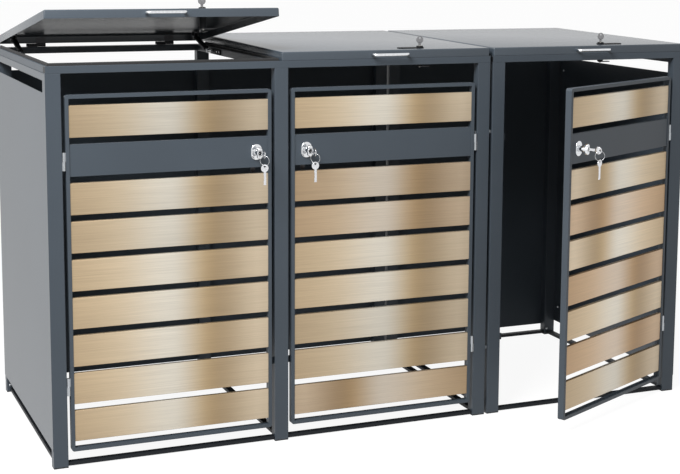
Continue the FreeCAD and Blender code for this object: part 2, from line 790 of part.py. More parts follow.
def stay_lug(name, across):
    """A folded U under the lid whose cheeks stand on both sides of the stay's head."""
    width = s.lug_gap + 2 * s.leaf_thickness
    front = head_y - s.lug_length / 2
    block = box(name + "_block", (across - width / 2, front, lid_under - s.lug_height),
                (width, s.lug_length, s.lug_height))
    gap = box(name + "_gap", (across - s.lug_gap / 2, front - 1, lid_under - s.lug_height - 1),
              (s.lug_gap, s.lug_length + 2, s.lug_height - s.leaf_thickness + 1))
    hole = cylinder(name + "_hole", (across - width / 2 - 1, head_y, head_z), s.lug_hole, width + 2, "+x")
    return cut(name, block, gap, hole)


def stay_base(name, face, inward):
    """A plate on the inner face of a rail with the stud that carries a stay's rod, and its two screws."""
    way = "+x" if inward > 0 else "-x"
    low = foot_z - s.base_height / 2
    plate_left = face if inward > 0 else face - s.base_thickness
    plate_front = foot_y + s.base_lead - s.base_length
    plate = box(name + "_plate", (plate_left, plate_front, low),
                (s.base_thickness, s.base_length, s.base_height))
    reach = s.stay_offset + s.stay_eye_width / 2 + s.knuckle_space
    stud = cylinder(name + "_stud", (face, foot_y, foot_z), s.stay_stud, reach + s.leaf_thickness, way)
    head = cylinder(name + "_head", (face + inward * reach, foot_y, foot_z), s.stay_stud + 2,
                    s.leaf_thickness, way)
    plate_face = face + inward * s.base_thickness
    screws = [cone("%s_screw_%d" % (name, number), (plate_face, plate_front + back, foot_z), s.screw_head,
                   s.screw_head / 2, s.screw_dome, way)
              for number, back in enumerate((s.base_height / 2, 2 * s.base_height), start=1)]
    return fuse(name, plate, stud, head, *screws)


for bay in BAYS:
    node("lid_pan_%s" % bay, [lid_pan(bay)], lid_pose[bay])
    node("lid_handle_%s" % bay, [lid_handle(bay)], lid_pose[bay])
    node("lid_lock_%s" % bay, lid_lock(bay), lid_pose[bay])
    node("lid_key_%s" % bay, lid_key(bay), lid_pose[bay])
    leaves = [lid_hinge_leaf("lid_leaf_%s_%d" % (bay, number), left)
              for number, left in enumerate(hinge_lefts(bay), start=1)]
    lugs = [stay_lug("stay_lug_%s_%d" % (bay, number), across)
            for number, across in enumerate(stay_lines[bay], start=1)]
    node("lid_fittings_%s" % bay, leaves + lugs, lid_pose[bay])
    rods = [stay_rod("stay_rod_%s_%d" % (bay, number), across)
            for number, across in enumerate(stay_lines[bay], start=1)]
    node("stay_rods_%s" % bay, rods, stay_placement(bay))
    cylinders = [stay_cylinder("stay_cylinder_%s_%d" % (bay, number), across)
                 for number, across in enumerate(stay_lines[bay], start=1)]
    node("stay_cylinders_%s" % bay, cylinders, stay_placement(bay, at_head=True))

node("lid_hinge_bases", [lid_hinge_base("lid_base_%s_%d" % (bay, number), left) for bay in BAYS
                         for number, left in enumerate(hinge_lefts(bay), start=1)])
node("stay_bases", [stay_base("stay_base_%s_%s" % (bay, side), face, inward) for bay in BAYS
                    for side, face, inward in (("1", well_left[bay], 1), ("2", well_right[bay], -1))])


def lid_seal(bay):
    """A rubber strip on the rails just inside the rim, along the front and both sides."""
    name = "lid_seal_%s" % bay
    left = lid_left[bay] + s.seal_inset
    width = lid_right[bay] - lid_left[bay] - 2 * s.seal_inset
    front = s.lid_margin + s.seal_inset
    depth = s.store_depth - s.post_depth - front
    outer = box(name + "_outer", (left, front, s.frame_height), (width, depth, s.seal_height))
    inner = box(name + "_inner", (left + s.seal_width, front + s.seal_width, s.frame_height - 1),
                (width - 2 * s.seal_width, depth, s.seal_height + 2))
    return cut(name, outer, inner)


node("lid_seals", [lid_seal(bay) for bay in BAYS])


# Doors. They are drawn shut, with the front of their frames in line with the posts, and then turned about
# their hinges.

door_left = {bay: bay_left[bay] + s.door_gap for bay in BAYS}
door_right = {bay: bay_right[bay] - s.door_gap for bay in BAYS}
door_width = s.bay_clear - 2 * s.door_gap
door_high = rail_low - s.door_drop
door_height = door_high - s.door_low
strip_height = (door_height - 2 * s.bar_thickness - (STRIPS + 1) * s.strip_gap) / STRIPS
strip_pitch = strip_height + s.strip_gap
low_hinge = s.door_low + s.low_hinge_rise
high_hinge = door_high - s.high_hinge_drop
low_stop = low_hinge + s.stop_offset
high_stop = high_hinge + s.stop_offset
hinge_left = {bay: DOOR_HINGE_SIDE[bay] == "left" for bay in BAYS}
door_axis_x = {bay: (bay_left[bay] + s.door_gap / 2 if hinge_left[bay] else bay_right[bay] - s.door_gap / 2)
               for bay in BAYS}
door_opens = {bay: -1 if hinge_left[bay] else 1 for bay in BAYS}
door_pose = {bay: turned_about(Vector(0, 0, 1), Vector(door_axis_x[bay].number, s.door_axis_depth.number, 0),
                               door_opens[bay] * DOOR_ANGLE[bay]) for bay in BAYS}
door_lock_x = {bay: (door_right[bay] - s.lock_inset if hinge_left[bay] else door_left[bay] + s.lock_inset)
               for bay in BAYS}


def strip_low(number):
    """Lower edge of a strip, counted from the top of the door."""
    return door_high - s.bar_thickness - number * strip_pitch


door_lock_z = strip_low(LOCK_STRIP) + strip_height / 2
barrel_rear = s.post_depth + s.cam_clearance - s.cam_play
rosette_front = s.strip_recess - s.rosette_thickness


def door_frame(bay):
    """A ring of flat bar on edge with rounded outer corners."""
    name = "door_frame_%s" % bay
    body = doc.addObject("PartDesign::Body", name + "_body")
    outline = sketch_on(body, name + "_outline", "XZ_Plane")
    bar = s.bar_thickness
    draw_rectangle(outline, door_left[bay], s.door_low, door_width, door_height)
    draw_rectangle(outline, door_left[bay] + bar, s.door_low + bar, door_width - 2 * bar,
                   door_height - 2 * bar)
    ring = pad(body, name + "_ring", outline, s.bar_width, reverse=True)
    limits = ring.Shape.BoundBox

    def outer_corner(edge):
        box_of_edge = edge.BoundBox
        at_side = min(abs(box_of_edge.XMin - limits.XMin), abs(box_of_edge.XMin - limits.XMax)) < 0.01
        return at_side and runs_along(edge, 1)

    round_off(body, name + "_corners", ring, s.door_corner, outer_corner)
    return body


def door_strip(name, bay, number):
    """A sheet strip between the stiles, with its upper and lower edges folded back."""
    left = door_left[bay] + s.bar_thickness
    low = strip_low(number)
    width = door_width - 2 * s.bar_thickness
    outer = box(name + "_outer", (left, s.strip_recess, low), (width, s.strip_return, strip_height))
    inner = box(name + "_inner", (left - 1, s.strip_recess + s.strip_sheet, low + s.strip_sheet),
                (width + 2, s.strip_return, strip_height - 2 * s.strip_sheet))
    return cut(name, outer, inner)


def lock_panel(bay):
    name = "door_lock_panel_%s" % bay
    hole = cylinder(name + "_hole", (door_lock_x[bay], s.strip_recess - 1, door_lock_z), s.lock_radius,
                    s.strip_sheet + 2, "+y")
    return cut(name, door_strip(name + "_strip", bay, LOCK_STRIP), hole)


def door_lock(bay):
    """An upright oval rosette and a barrel through the lock panel, and the nut behind it."""
    name = "door_lock_%s" % bay
    across = door_lock_x[bay]
    half = s.rosette_height / 2 - s.rosette_radius
    ends = [cylinder("%s_rosette_%s" % (name, end), (across, s.strip_recess, height), s.rosette_radius,
                     s.rosette_thickness, "-y")
            for end, height in (("low", door_lock_z - half), ("high", door_lock_z + half))]
    middle = box(name + "_rosette", (across - s.rosette_radius, rosette_front, door_lock_z - half),
                 (2 * s.rosette_radius, s.rosette_thickness, 2 * half))
    barrel = cylinder(name + "_barrel", (across, rosette_front, door_lock_z), s.lock_radius,
                      barrel_rear - rosette_front, "+y")
    bore = cylinder(name + "_bore", (across, rosette_front - 1, door_lock_z),
                    s.plug_radius + s.lock_clearance, barrel_rear - rosette_front + 2, "+y")
    shell = cut(name + "_shell", fuse(name + "_outside", middle, barrel, *ends), bore)
    nut_front = s.strip_recess + s.strip_sheet
    nut = doc.addObject("Part::Prism", name + "_nut_blank")
    nut.Polygon = 6
    bind(nut, "Circumradius", s.nut_radius)
    bind(nut, "Height", s.nut_thickness)
    nut.Placement = Placement(Vector(), TURNS["+y"])
    put(nut, (across, nut_front, door_lock_z))
    nut = cut(name + "_nut", nut, cylinder(name + "_nut_hole", (across, nut_front - 1, door_lock_z),
                                           s.lock_radius, s.nut_thickness + 2, "+y"))
    return [shell, nut]


# Turns a piece that stands on the origin with its head up so that its head points to the front

TO_FRONT = Rotation(Vector(1, 0, 0), 90)
grip_front = rosette_front - s.grip_reach
key_show = s.key_length - s.shank_length
bow_front = grip_front - key_show - 2 * s.bow_radius
bow_hole_y = bow_front + s.hole_inset

# The ring stands at 45 degrees to both keys, so its wire keeps further from the edges of their holes.

RING_TURN = Rotation(Vector(0, 0, 1), -45)
SPARE_TURN = Rotation(Vector(0, 0, 1), -90)
ring_seat = s.bow_hole - 2 * s.ring_wire
ring_top = door_lock_z - ring_seat


def grip(name):
    """The upright wing of a door's lock, and the round hub that reaches from it back to the rosette."""
    end = s.grip_width / 2
    reach = s.grip_height / 2 - end
    hub_length = s.grip_reach - s.running_clearance
    return [box(name + "_wing", (-reach, -end, -s.grip_thickness),
                (2 * reach, s.grip_width, s.grip_thickness)),
            cylinder(name + "_upper", (-reach, 0, -s.grip_thickness), end, s.grip_thickness),
            cylinder(name + "_lower", (reach, 0, -s.grip_thickness), end, s.grip_thickness),
            cylinder(name + "_hub", (0, 0, -hub_length), s.grip_hub, hub_length)]


def door_key(bay):
    """The grip, plug and cam of a door's lock, with the cam down when it is unlocked, and the key in it."""
    name = "door_key_%s" % bay
    plug_length = barrel_rear - grip_front + s.cam_play + s.cam_thickness
    spot = Vector(door_lock_x[bay].number, grip_front.number, door_lock_z.number)
    turning = cam_and_plug(name + "_turning", plug_length, s.door_cam_length, *grip(name + "_grip"))
    key = flat_key(name + "_flat", key_show, s.shank_length)
    cam_down = TO_FRONT * Rotation(Vector(0, 0, 1), -90)
    return [placed(name + "_rear", turning, Placement(spot, cam_down)),
            placed(name + "_front", key, Placement(spot, TO_FRONT))]


def spare_key(bay):
    """A ring through the bow of the key in the lock, and the spare key that hangs from it."""
    name = "spare_key_%s" % bay
    centre = Vector(door_lock_x[bay].number, bow_hole_y.number, (ring_top - s.ring_radius).number)
    ring = doc.addObject("Part::Torus", name + "_ring")
    bind(ring, "Radius1", s.ring_radius)
    bind(ring, "Radius2", s.ring_wire)
    ring.Placement = Placement(centre, RING_TURN * TURNS["+y"])
    hole = ring_top - 2 * s.ring_radius - ring_seat
    low = hole + s.hole_inset - 2 * s.bow_radius - s.key_length
    spot = Vector(centre.x, centre.y, low.number)
    key = flat_key(name + "_flat", s.key_length, as_size(0))
    return [ring, placed(name + "_hung", key, Placement(spot, SPARE_TURN))]


def knuckle(name, bay, low, moving):
    """Half a door hinge. The lower half carries the pin and is welded to the post, the upper turns on it."""
    across = door_axis_x[bay]
    depth = s.door_axis_depth
    side = (1 if hinge_left[bay] else -1) * (1 if moving else -1)
    lift = s.knuckle_length + s.knuckle_space if moving else 0
    barrel = cylinder(name + "_barrel", (across, depth, low + lift), s.knuckle_radius, s.knuckle_length)
    web_left = across if side > 0 else across - s.door_gap / 2
    web = box(name + "_web", (web_left, depth - s.knuckle_web / 2, low + lift),
              (s.door_gap / 2, s.knuckle_web, s.knuckle_length))
    solid = fuse(name + "_solid", barrel, web)
    if moving:
        return cut(name, solid, cylinder(name + "_bore", (across, depth, low + lift - 1),
                                         s.door_pin_radius + s.running_clearance, s.knuckle_length + 2))
    pin = cylinder(name + "_pin", (across, depth, low), s.door_pin_radius,
                   2 * s.knuckle_length + s.knuckle_space)
    return fuse(name, solid, pin)


def knuckles(bay, moving):
    word = "upper" if moving else "lower"
    return [knuckle("%s_knuckle_%s_%d" % (word, bay, number), bay, low, moving)
            for number, low in enumerate((low_hinge, high_hinge), start=1)]


def door_stop(name, bay, low):
    """A tab on the post at the lock side, just behind the shut door."""
    left = bay_right[bay] - s.stop_reach if hinge_left[bay] else bay_left[bay]
    return box(name, (left, s.bar_width + s.stop_clearance, low),
               (s.stop_reach, s.stop_thickness, s.stop_height))


for bay in BAYS:
    pose = door_pose[bay]
    node("door_frame_%s" % bay, [door_frame(bay)], pose)
    node("door_strips_%s" % bay, [door_strip("door_strip_%s_%d" % (bay, number), bay, number)
                                  for number in range(1, STRIPS + 1) if number != LOCK_STRIP], pose)
    node("door_lock_panel_%s" % bay, [lock_panel(bay)], pose)
    node("door_knuckles_%s" % bay, knuckles(bay, moving=True), pose)
    node("door_lock_%s" % bay, door_lock(bay), pose)
    node("door_key_%s" % bay, door_key(bay), pose)
    node("spare_key_%s" % bay, spare_key(bay), pose)

node("post_knuckles", [piece for bay in BAYS for piece in knuckles(bay, moving=False)])
node("door_stops", [door_stop("door_stop_%s_%d" % (bay, number), bay, low) for bay in BAYS
                    for number, low in enumerate((low_stop, high_stop), start=1)])

doc.recompute()
faults = [item.Name for item in doc.Objects if {"Invalid", "Error"} & set(item.State)]
for name, group in NODES.items():
    shape = group.Shape
    if shape.isNull() or not shape.isValid() or not shape.Solids or shape.Volume <= 0:
        faults.append(name)
if faults:
    raise SystemExit("not built soundly: " + ", ".join(faults))

whole = FreeCAD.BoundBox()
for group in NODES.values():
    whole.add(group.Shape.BoundBox)
print("nodes %d, solids %d" % (len(NODES), sum(len(group.Shape.Solids) for group in NODES.values())))
print("X %.3f to %.3f, Y %.3f to %.3f, Z %.3f to %.3f"
      % (whole.XMin, whole.XMax, whole.YMin, whole.YMax, whole.ZMin, whole.ZMax))

os.makedirs("parts", exist_ok=True)
for name, group in NODES.items():
    group.Shape.exportStep(os.path.join("parts", name + ".step"))
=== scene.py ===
import json
import math

import bmesh
import bpy
from mathutils import Matrix, Vector


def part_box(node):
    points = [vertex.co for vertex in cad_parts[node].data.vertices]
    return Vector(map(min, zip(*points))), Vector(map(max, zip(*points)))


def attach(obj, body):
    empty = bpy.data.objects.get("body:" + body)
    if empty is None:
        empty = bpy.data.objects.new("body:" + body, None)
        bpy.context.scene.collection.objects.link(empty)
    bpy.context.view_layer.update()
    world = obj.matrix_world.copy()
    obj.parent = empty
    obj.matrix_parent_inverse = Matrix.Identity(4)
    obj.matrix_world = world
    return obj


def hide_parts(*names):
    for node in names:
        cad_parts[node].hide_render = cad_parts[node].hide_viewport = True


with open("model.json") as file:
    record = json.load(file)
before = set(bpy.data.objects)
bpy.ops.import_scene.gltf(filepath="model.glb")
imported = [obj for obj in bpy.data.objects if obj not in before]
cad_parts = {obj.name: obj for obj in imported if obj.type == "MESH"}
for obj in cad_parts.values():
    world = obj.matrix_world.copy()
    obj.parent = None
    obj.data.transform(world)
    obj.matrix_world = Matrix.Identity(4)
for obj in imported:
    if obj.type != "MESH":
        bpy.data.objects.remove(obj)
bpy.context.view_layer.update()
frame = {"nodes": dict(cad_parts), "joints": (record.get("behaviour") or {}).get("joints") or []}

# Studio. The store stands on a seamless white floor under soft lamps, with a large soft box at the left in
# front. The camera is at chest height, left of the doors, and looks along the front. Its frame is shifted a
# little to the left and down, so that the camera tilts less.
MM = 0.001
CAMERA_PLACE = (-1.7347, -4.1594, 1.4178)
CAMERA_YAW = math.radians(23.154)
CAMERA_PITCH = math.radians(7.943)
CAMERA_ROLL = math.radians(0.453)
LENS = 78.258
FILM_WIDTH = 36.0
SHIFT_ACROSS = -0.05
SHIFT_UP = -0.12
SEEN_AS_FAR_AS = 200.0
SURROUND_LIGHT = 0.26
SOFT_BOX_SIZE = 1.8
SOFT_BOX_POWER = 255.0
SOFT_BOX_PLACE = Vector((-2.4, -2.1, 3.5))
SOFT_BOX_AIM = Vector((-0.4, 0.0, 0.6))
FLOOR_REACH = 40.0
FLOOR_TONE = 0.35
FLOOR_SHADOW = 0.12
FLOOR_GLOW = 0.93

scene = bpy.context.scene
scene.view_settings.view_transform = "Standard"

view = bpy.data.cameras.new("camera")
view.lens = LENS
view.sensor_width = FILM_WIDTH
view.shift_x = SHIFT_ACROSS
view.shift_y = SHIFT_UP
view.clip_end = SEEN_AS_FAR_AS
view.dof.use_dof = False
camera = bpy.data.objects.new("camera", view)
camera.matrix_world = (Matrix.Translation(CAMERA_PLACE) @ Matrix.Rotation(-CAMERA_YAW, 4, "Z")
                       @ Matrix.Rotation(math.pi / 2 - CAMERA_PITCH, 4, "X")
                       @ Matrix.Rotation(CAMERA_ROLL, 4, "Z"))
scene.collection.objects.link(camera)
scene.camera = camera


def paint(red, green, blue):
    """A colour given as it looks, in steps from 0 to 255, as the linear colour that Blender reads."""
    return tuple(((step / 255 + 0.055) / 1.055) ** 2.4 for step in (red, green, blue)) + (1.0,)


def grey(level):
    return (level, level, level, 1.0)


def add(tree, kind, settings=None, **inputs):
    """A shader node with its own settings, and values or links on the sockets named."""
    item = tree.nodes.new(kind)
    for name, value in (settings or {}).items():
        setattr(item, name, value)
    for name, value in inputs.items():
        socket = item.inputs[name.replace("_", " ")]
        if isinstance(value, bpy.types.NodeSocket):
            tree.links.new(value, socket)
        else:
            socket.default_value = value
    return item


def combined(tree, kind, operation, *values):
    """What a math node makes of values or links, in their order."""
    item = add(tree, kind, {"operation": operation})
    for socket, value in zip(item.inputs, values):
        if isinstance(value, bpy.types.NodeSocket):
            tree.links.new(value, socket)
        else:
            socket.default_value = value
    return item.outputs[0]


def number(tree, operation, *values):
    return combined(tree, "ShaderNodeMath", operation, *values)


def vector(tree, operation, *values):
    return combined(tree, "ShaderNodeVectorMath", operation, *values)


def backdrop(tree, lighting, seen, ending):
    """Ends a tree with one shader that lights the store, and one for what is seen directly or in metal."""
    rays = tree.nodes.new("ShaderNodeLightPath").outputs
    direct = number(tree, "MAXIMUM", number(tree, "MAXIMUM", rays["Is Camera Ray"], rays["Is Glossy Ray"]),
                    rays["Is Transmission Ray"])
    both = add(tree, "ShaderNodeMixShader", Fac=direct)
    tree.links.new(lighting.outputs[0], both.inputs[1])
    tree.links.new(seen.outputs[0], both.inputs[2])
    tree.links.new(both.outputs[0], tree.nodes.new(ending).inputs["Surface"])


surround = bpy.data.worlds.new("surround")
surround.use_nodes = True
tree = surround.node_tree
tree.nodes.clear()
plain = add(tree, "ShaderNodeBackground", Color=grey(1), Strength=SURROUND_LIGHT)
white = add(tree, "ShaderNodeBackground", Color=grey(1), Strength=1.0)
backdrop(tree, plain, white, "ShaderNodeOutputWorld")
scene.world = surround


def hang_lamp(name, kind, energy):
    """A lamp and its holder, which still has to be placed."""
    lamp = bpy.data.lights.new(name, kind)
    lamp.energy = energy
    holder = bpy.data.objects.new(name, lamp)
    scene.collection.objects.link(holder)
    return lamp, holder


def soft_sun(name, strength, spread, azimuth, height):
    """A lamp far away that shines down from an azimuth, counted from the front to the left, and a height."""
    lamp, holder = hang_lamp(name, "SUN", strength)
    lamp.angle = math.radians(spread)
    round_about = Matrix.Rotation(math.radians(-azimuth), 4, "Z")
    holder.matrix_world = round_about @ Matrix.Rotation(math.radians(90 - height), 4, "X")


soft_sun("front lamp", strength=0.15, spread=50, azimuth=20, height=50)
soft_sun("left lamp", strength=0.50, spread=60, azimuth=85, height=35)
soft_box, soft_box_holder = hang_lamp("large soft box", "AREA", SOFT_BOX_POWER)
soft_box.shape = "SQUARE"
soft_box.size = SOFT_BOX_SIZE
aim = (SOFT_BOX_AIM - SOFT_BOX_PLACE).to_track_quat("-Z", "Y")
soft_box_holder.matrix_world = Matrix.Translation(SOFT_BOX_PLACE) @ aim.to_matrix().to_4x4()

ground = bmesh.new()
bmesh.ops.create_grid(ground, x_segments=1, y_segments=1, size=FLOOR_REACH)
ground_mesh = bpy.data.meshes.new("floor")
ground.to_mesh(ground_mesh)
ground.free()
floor_paint = bpy.data.materials.new("white floor")
floor_paint.use_nodes = True
tree = floor_paint.node_tree
tree.nodes.clear()
lit = add(tree, "ShaderNodeBsdfDiffuse", Color=grey(FLOOR_TONE))
shaded = add(tree, "ShaderNodeBsdfDiffuse", Color=grey(FLOOR_SHADOW))
glow = add(tree, "ShaderNodeEmission", Color=grey(1), Strength=FLOOR_GLOW)
bright = tree.nodes.new("ShaderNodeAddShader")
tree.links.new(shaded.outputs[0], bright.inputs[0])
tree.links.new(glow.outputs[0], bright.inputs[1])
backdrop(tree, lit, bright, "ShaderNodeOutputMaterial")
ground_mesh.materials.append(floor_paint)
floor = bpy.data.objects.new("floor", ground_mesh)
scene.collection.objects.link(floor)

# Frame. Rectangular steel tube welded into posts and rails, with flat bar along the ground and plastic feet
# and plugs pushed into the open ends. The steel is powder coated in anthracite, a satin coat with a very fine
# orange peel. On the bars along the ground the coat is blunter, and darker by painted shade.
COAT = paint(62, 70, 78)
# The anthracite darkened as painted shade, for the bars along the ground.
SHADE_DARKENED_BAR_COAT = paint(24, 27, 31)
PLASTIC = paint(30, 32, 34)
COAT_SHINE = 0.35
COAT_CLOUDS = 3.5
COAT_TONES = (0.94, 1.06)
COAT_GLOSS = 0.04
PEEL_GRAIN = 900.0
PEEL_DEPTH = 0.2 * MM
COAT_PEEL = 0.12
MOULDED_PEEL = 0.3
TUBE_EDGE = 2.2 * MM
BAR_EDGE = 1.0 * MM
EDGE_RAYS = 6
NOISE_LOW, NOISE_HIGH = 0.3, 0.7


def group_of(name, inputs, outputs):
    """An empty shader node group with named number inputs and outputs, and its two end nodes."""
    group = bpy.data.node_groups.new(name, "ShaderNodeTree")
    for title, start in inputs.items():
        socket = group.interface.new_socket(title, in_out="INPUT", socket_type="NodeSocketFloat")
        socket.default_value = start
    for title, kind in outputs.items():
        group.interface.new_socket(title, in_out="OUTPUT", socket_type=kind)
    return group, group.nodes.new("NodeGroupInput").outputs, group.nodes.new("NodeGroupOutput").inputs


def spread(tree, noise, low, high):
    """A noise as a number that runs from low to high."""
    item = add(tree, "ShaderNodeMapRange", Value=noise.outputs["Fac"], From_Min=NOISE_LOW,
               From_Max=NOISE_HIGH, To_Min=low, To_Max=high)
    return item.outputs["Result"]


SURFACE = {"Tone": "NodeSocketFloat", "Gloss": "NodeSocketFloat", "Normal": "NodeSocketVector"}


def coat_group():
    """The surface of a baked powder coat: cloudy tone, orange peel, and edges where the coat runs round."""
    group, given, result = group_of("powder coat", {"Edge": TUBE_EDGE, "Peel": COAT_PEEL}, SURFACE)
    place = group.nodes.new("ShaderNodeTexCoord").outputs["Object"]
    clouds = add(group, "ShaderNodeTexNoise", Vector=place, Scale=COAT_CLOUDS, Detail=3.0, Roughness=0.5)
    peel = add(group, "ShaderNodeTexNoise", Vector=place, Scale=PEEL_GRAIN, Detail=2.0, Roughness=0.6)
    rounded = add(group, "ShaderNodeBevel", {"samples": EDGE_RAYS}, Radius=given["Edge"])
    bump = add(group, "ShaderNodeBump", Strength=given["Peel"], Distance=PEEL_DEPTH,
               Height=peel.outputs["Fac"], Normal=rounded.outputs["Normal"])
    group.links.new(spread(group, clouds, *COAT_TONES), result["Tone"])
    group.links.new(spread(group, peel, -COAT_GLOSS, COAT_GLOSS), result["Gloss"])
    group.links.new(bump.outputs["Normal"], result["Normal"])
    return group


POWDER_COAT = coat_group()


def new_material(name):
    """A material with a Principled shader, and its node tree."""
    material = bpy.data.materials.new(name)
    material.use_nodes = True
    return material, material.node_tree, material.node_tree.nodes["Principled BSDF"]


def scaled_colour(tree, colour, factor):
    """A colour, as a value or a link, made lighter or darker by a factor."""
    item = add(tree, "ShaderNodeVectorMath", {"operation": "SCALE"}, Scale=factor)
    if isinstance(colour, bpy.types.NodeSocket):
        tree.links.new(colour, item.inputs[0])
    else:
        item.inputs[0].default_value = colour[:3]
    return item.outputs[0]


def surfaced(tree, skin, surface, colour, roughness):
    """Gives a shader a colour and a roughness that vary as a surface group says, and its normals."""
    tree.links.new(scaled_colour(tree, colour, surface.outputs["Tone"]), skin.inputs["Base Color"])
    tree.links.new(number(tree, "ADD", surface.outputs["Gloss"], roughness), skin.inputs["Roughness"])
    tree.links.new(surface.outputs["Normal"], skin.inputs["Normal"])


def coated(name, colour, roughness, edge=TUBE_EDGE, peel=COAT_PEEL, shine=COAT_SHINE):
    """Powder coat in a colour, over edges rounded by a radius."""
    material, tree, skin = new_material(name)
    coat = add(tree, "ShaderNodeGroup", {"node_tree": POWDER_COAT}, Edge=edge, Peel=peel)
    surfaced(tree, skin, coat, colour, roughness)
    skin.inputs["Specular IOR Level"].default_value = shine
    return material


def finish_nodes(material, slot, *names):
    """Puts a material on CAD nodes whose own shape is shown."""
    for name in names:
        node = frame["nodes"][name]
        node.data.materials.clear()
        node.data.materials.append(material)


frame_coat = coated("anthracite coat on tube", COAT, roughness=0.42)
finish_nodes(frame_coat, "anthracite", "posts_front", "posts_rear", "top_rails_width", "top_rails_depth")
# Painted shade: the bars along the ground get the darker colour, and a blunter coat.
shade_darkened_bar_coat = coated("blunt coat with painted shade on the bars along the ground", SHADE_DARKENED_BAR_COAT, roughness=0.55, edge=BAR_EDGE,
                  shine=0.2)
finish_nodes(shade_darkened_bar_coat, "anthracite", "bottom_bars_width", "bottom_bars_depth")
plug_plastic = coated("black plastic of the feet and plugs", PLASTIC, roughness=0.55, edge=BAR_EDGE,
                      peel=MOULDED_PEEL)
finish_nodes(plug_plastic, "moulding", "feet_and_plugs")

# Side and rear walls. Flat steel sheet, powder coated like the frame. The side walls are riveted to the
# outside of the posts, with a long slot under the top rail for air. The rear walls are screwed to the posts
# and end a little below the rail.
SHEET_EDGE = 0.6 * MM
side_coat = coated("anthracite coat on side walls", COAT, roughness=0.32, edge=SHEET_EDGE, shine=0.45)
finish_nodes(side_coat, "anthracite", "side_wall_left", "side_wall_right")
rear_coat = coated("anthracite coat on rear walls", COAT, roughness=0.5, edge=SHEET_EDGE, shine=0.2)
finish_nodes(rear_coat, "anthracite", "rear_walls")

# Bolts, rivets and hinge halves. Turned or pressed steel with a thin bright zinc plating, which is a little
# cloudy and blunt, so it shines without mirroring. The hinges of the lids are plated black.
ZINC = paint(176, 180, 184)
BLACK_ZINC = paint(70, 70, 72)
METAL_EDGE = 0.4 * MM
METAL_GRAIN = 400.0
METAL_TONES = (0.88, 1.05)
METAL_GLOSS = 0.07
METAL_BUMP = 0.1
METAL_DEPTH = 0.1 * MM


def metal_group():
    """The surface of plain metal: cloudy plating, fine scratches and small rounded edges."""
    group, given, result = group_of("bare metal", {"Edge": METAL_EDGE, "Grain": METAL_GRAIN}, SURFACE)
    place = group.nodes.new("ShaderNodeTexCoord").outputs["Object"]
    clouds = add(group, "ShaderNodeTexNoise", Vector=place, Scale=given["Grain"], Detail=3.0, Roughness=0.6)
    rounded = add(group, "ShaderNodeBevel", {"samples": EDGE_RAYS}, Radius=given["Edge"])
    bump = add(group, "ShaderNodeBump", Strength=METAL_BUMP, Distance=METAL_DEPTH,
               Height=clouds.outputs["Fac"], Normal=rounded.outputs["Normal"])
    group.links.new(spread(group, clouds, *METAL_TONES), result["Tone"])
    group.links.new(spread(group, clouds, -METAL_GLOSS, METAL_GLOSS), result["Gloss"])
    group.links.new(bump.outputs["Normal"], result["Normal"])
    return group


BARE_METAL = metal_group()


def bare(name, colour, roughness, edge=METAL_EDGE, grain=METAL_GRAIN):
    """Bare or plated metal in a colour."""
    material, tree, skin = new_material(name)
    metal = add(tree, "ShaderNodeGroup", {"node_tree": BARE_METAL}, Edge=edge, Grain=grain)
    surfaced(tree, skin, metal, colour, roughness)
    skin.inputs["Metallic"].default_value = 1.0
    return material


zinc_plate = bare("bright zinc", ZINC, roughness=0.32)
dark_zinc = bare("black zinc", BLACK_ZINC, roughness=0.4)
finish_nodes(zinc_plate, "zinc", "wall_fixings", "module_bolts", "post_knuckles")
finish_nodes(dark_zinc, "zinc", "lid_hinge_bases")

# Doors. Each is a ring of flat steel bar on edge with rounded corners, coated like the frame. It turns on two
# welded knuckles and closes against two tabs on the post.
BAYS = ("1", "2", "3")
BAR = 10 * MM
door_coat = coated("anthracite coat on doors", COAT, roughness=0.40, edge=1.2 * MM)
finish_nodes(door_coat, "anthracite", "door_stops")
for bay in BAYS:
    finish_nodes(door_coat, "anthracite", "door_frame_" + bay, "door_lock_panel_" + bay)
    finish_nodes(zinc_plate, "zinc", "door_knuckles_" + bay)


def joint_of(name):
    return next(joint for joint in frame["joints"] if joint["name"] == name)


def turned(name, degrees):
    """The turn about a joint's axis by so many degrees."""
    joint = joint_of(name)
    pivot = Vector(joint["pos_m"])
    turn = Matrix.Rotation(math.radians(degrees), 4, Vector(joint["axis"]))
    return Matrix.Translation(pivot) @ turn @ Matrix.Translation(-pivot)


def opened(name):
    """How far a joint stands open in the photograph, in degrees from shut."""
    return -joint_of(name)["range_deg"][0]


door_turn = {bay: turned("door_%s_hinge" % bay, opened("door_%s_hinge" % bay)) for bay in BAYS}
door_hinge_x = {bay: joint_of("door_%s_hinge" % bay)["pos_m"][0] for bay in BAYS}
first_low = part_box("door_frame_1")[0]
low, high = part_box("door_frame_2")
door_front = first_low[1]
door_left = {"1": first_low[0], "2": low[0], "3": low[0] + (door_hinge_x["3"] - door_hinge_x["2"])}
door_width = high[0] - low[0]
door_low, door_high = low[2], high[2]

# Door strips. Eight strips of thin steel sheet, brushed along their length and lacquered in a warm bronze,
# with the long edges folded back. A painted sheen in the colour runs lighter towards the middle of a strip,
# as a painted highlight. Some strips are turned end for end, and one is a little lighter, darker or warmer
# than the next.
STRIPS = 9
LOCK_STRIP = 2
STRIP_GAP = 18 * MM
STRIP_SHEET = 1.2 * MM
STRIP_DEPTH = 12 * MM
STRIP_RECESS = 2 * MM
STRIP_BEND = 1.8 * MM
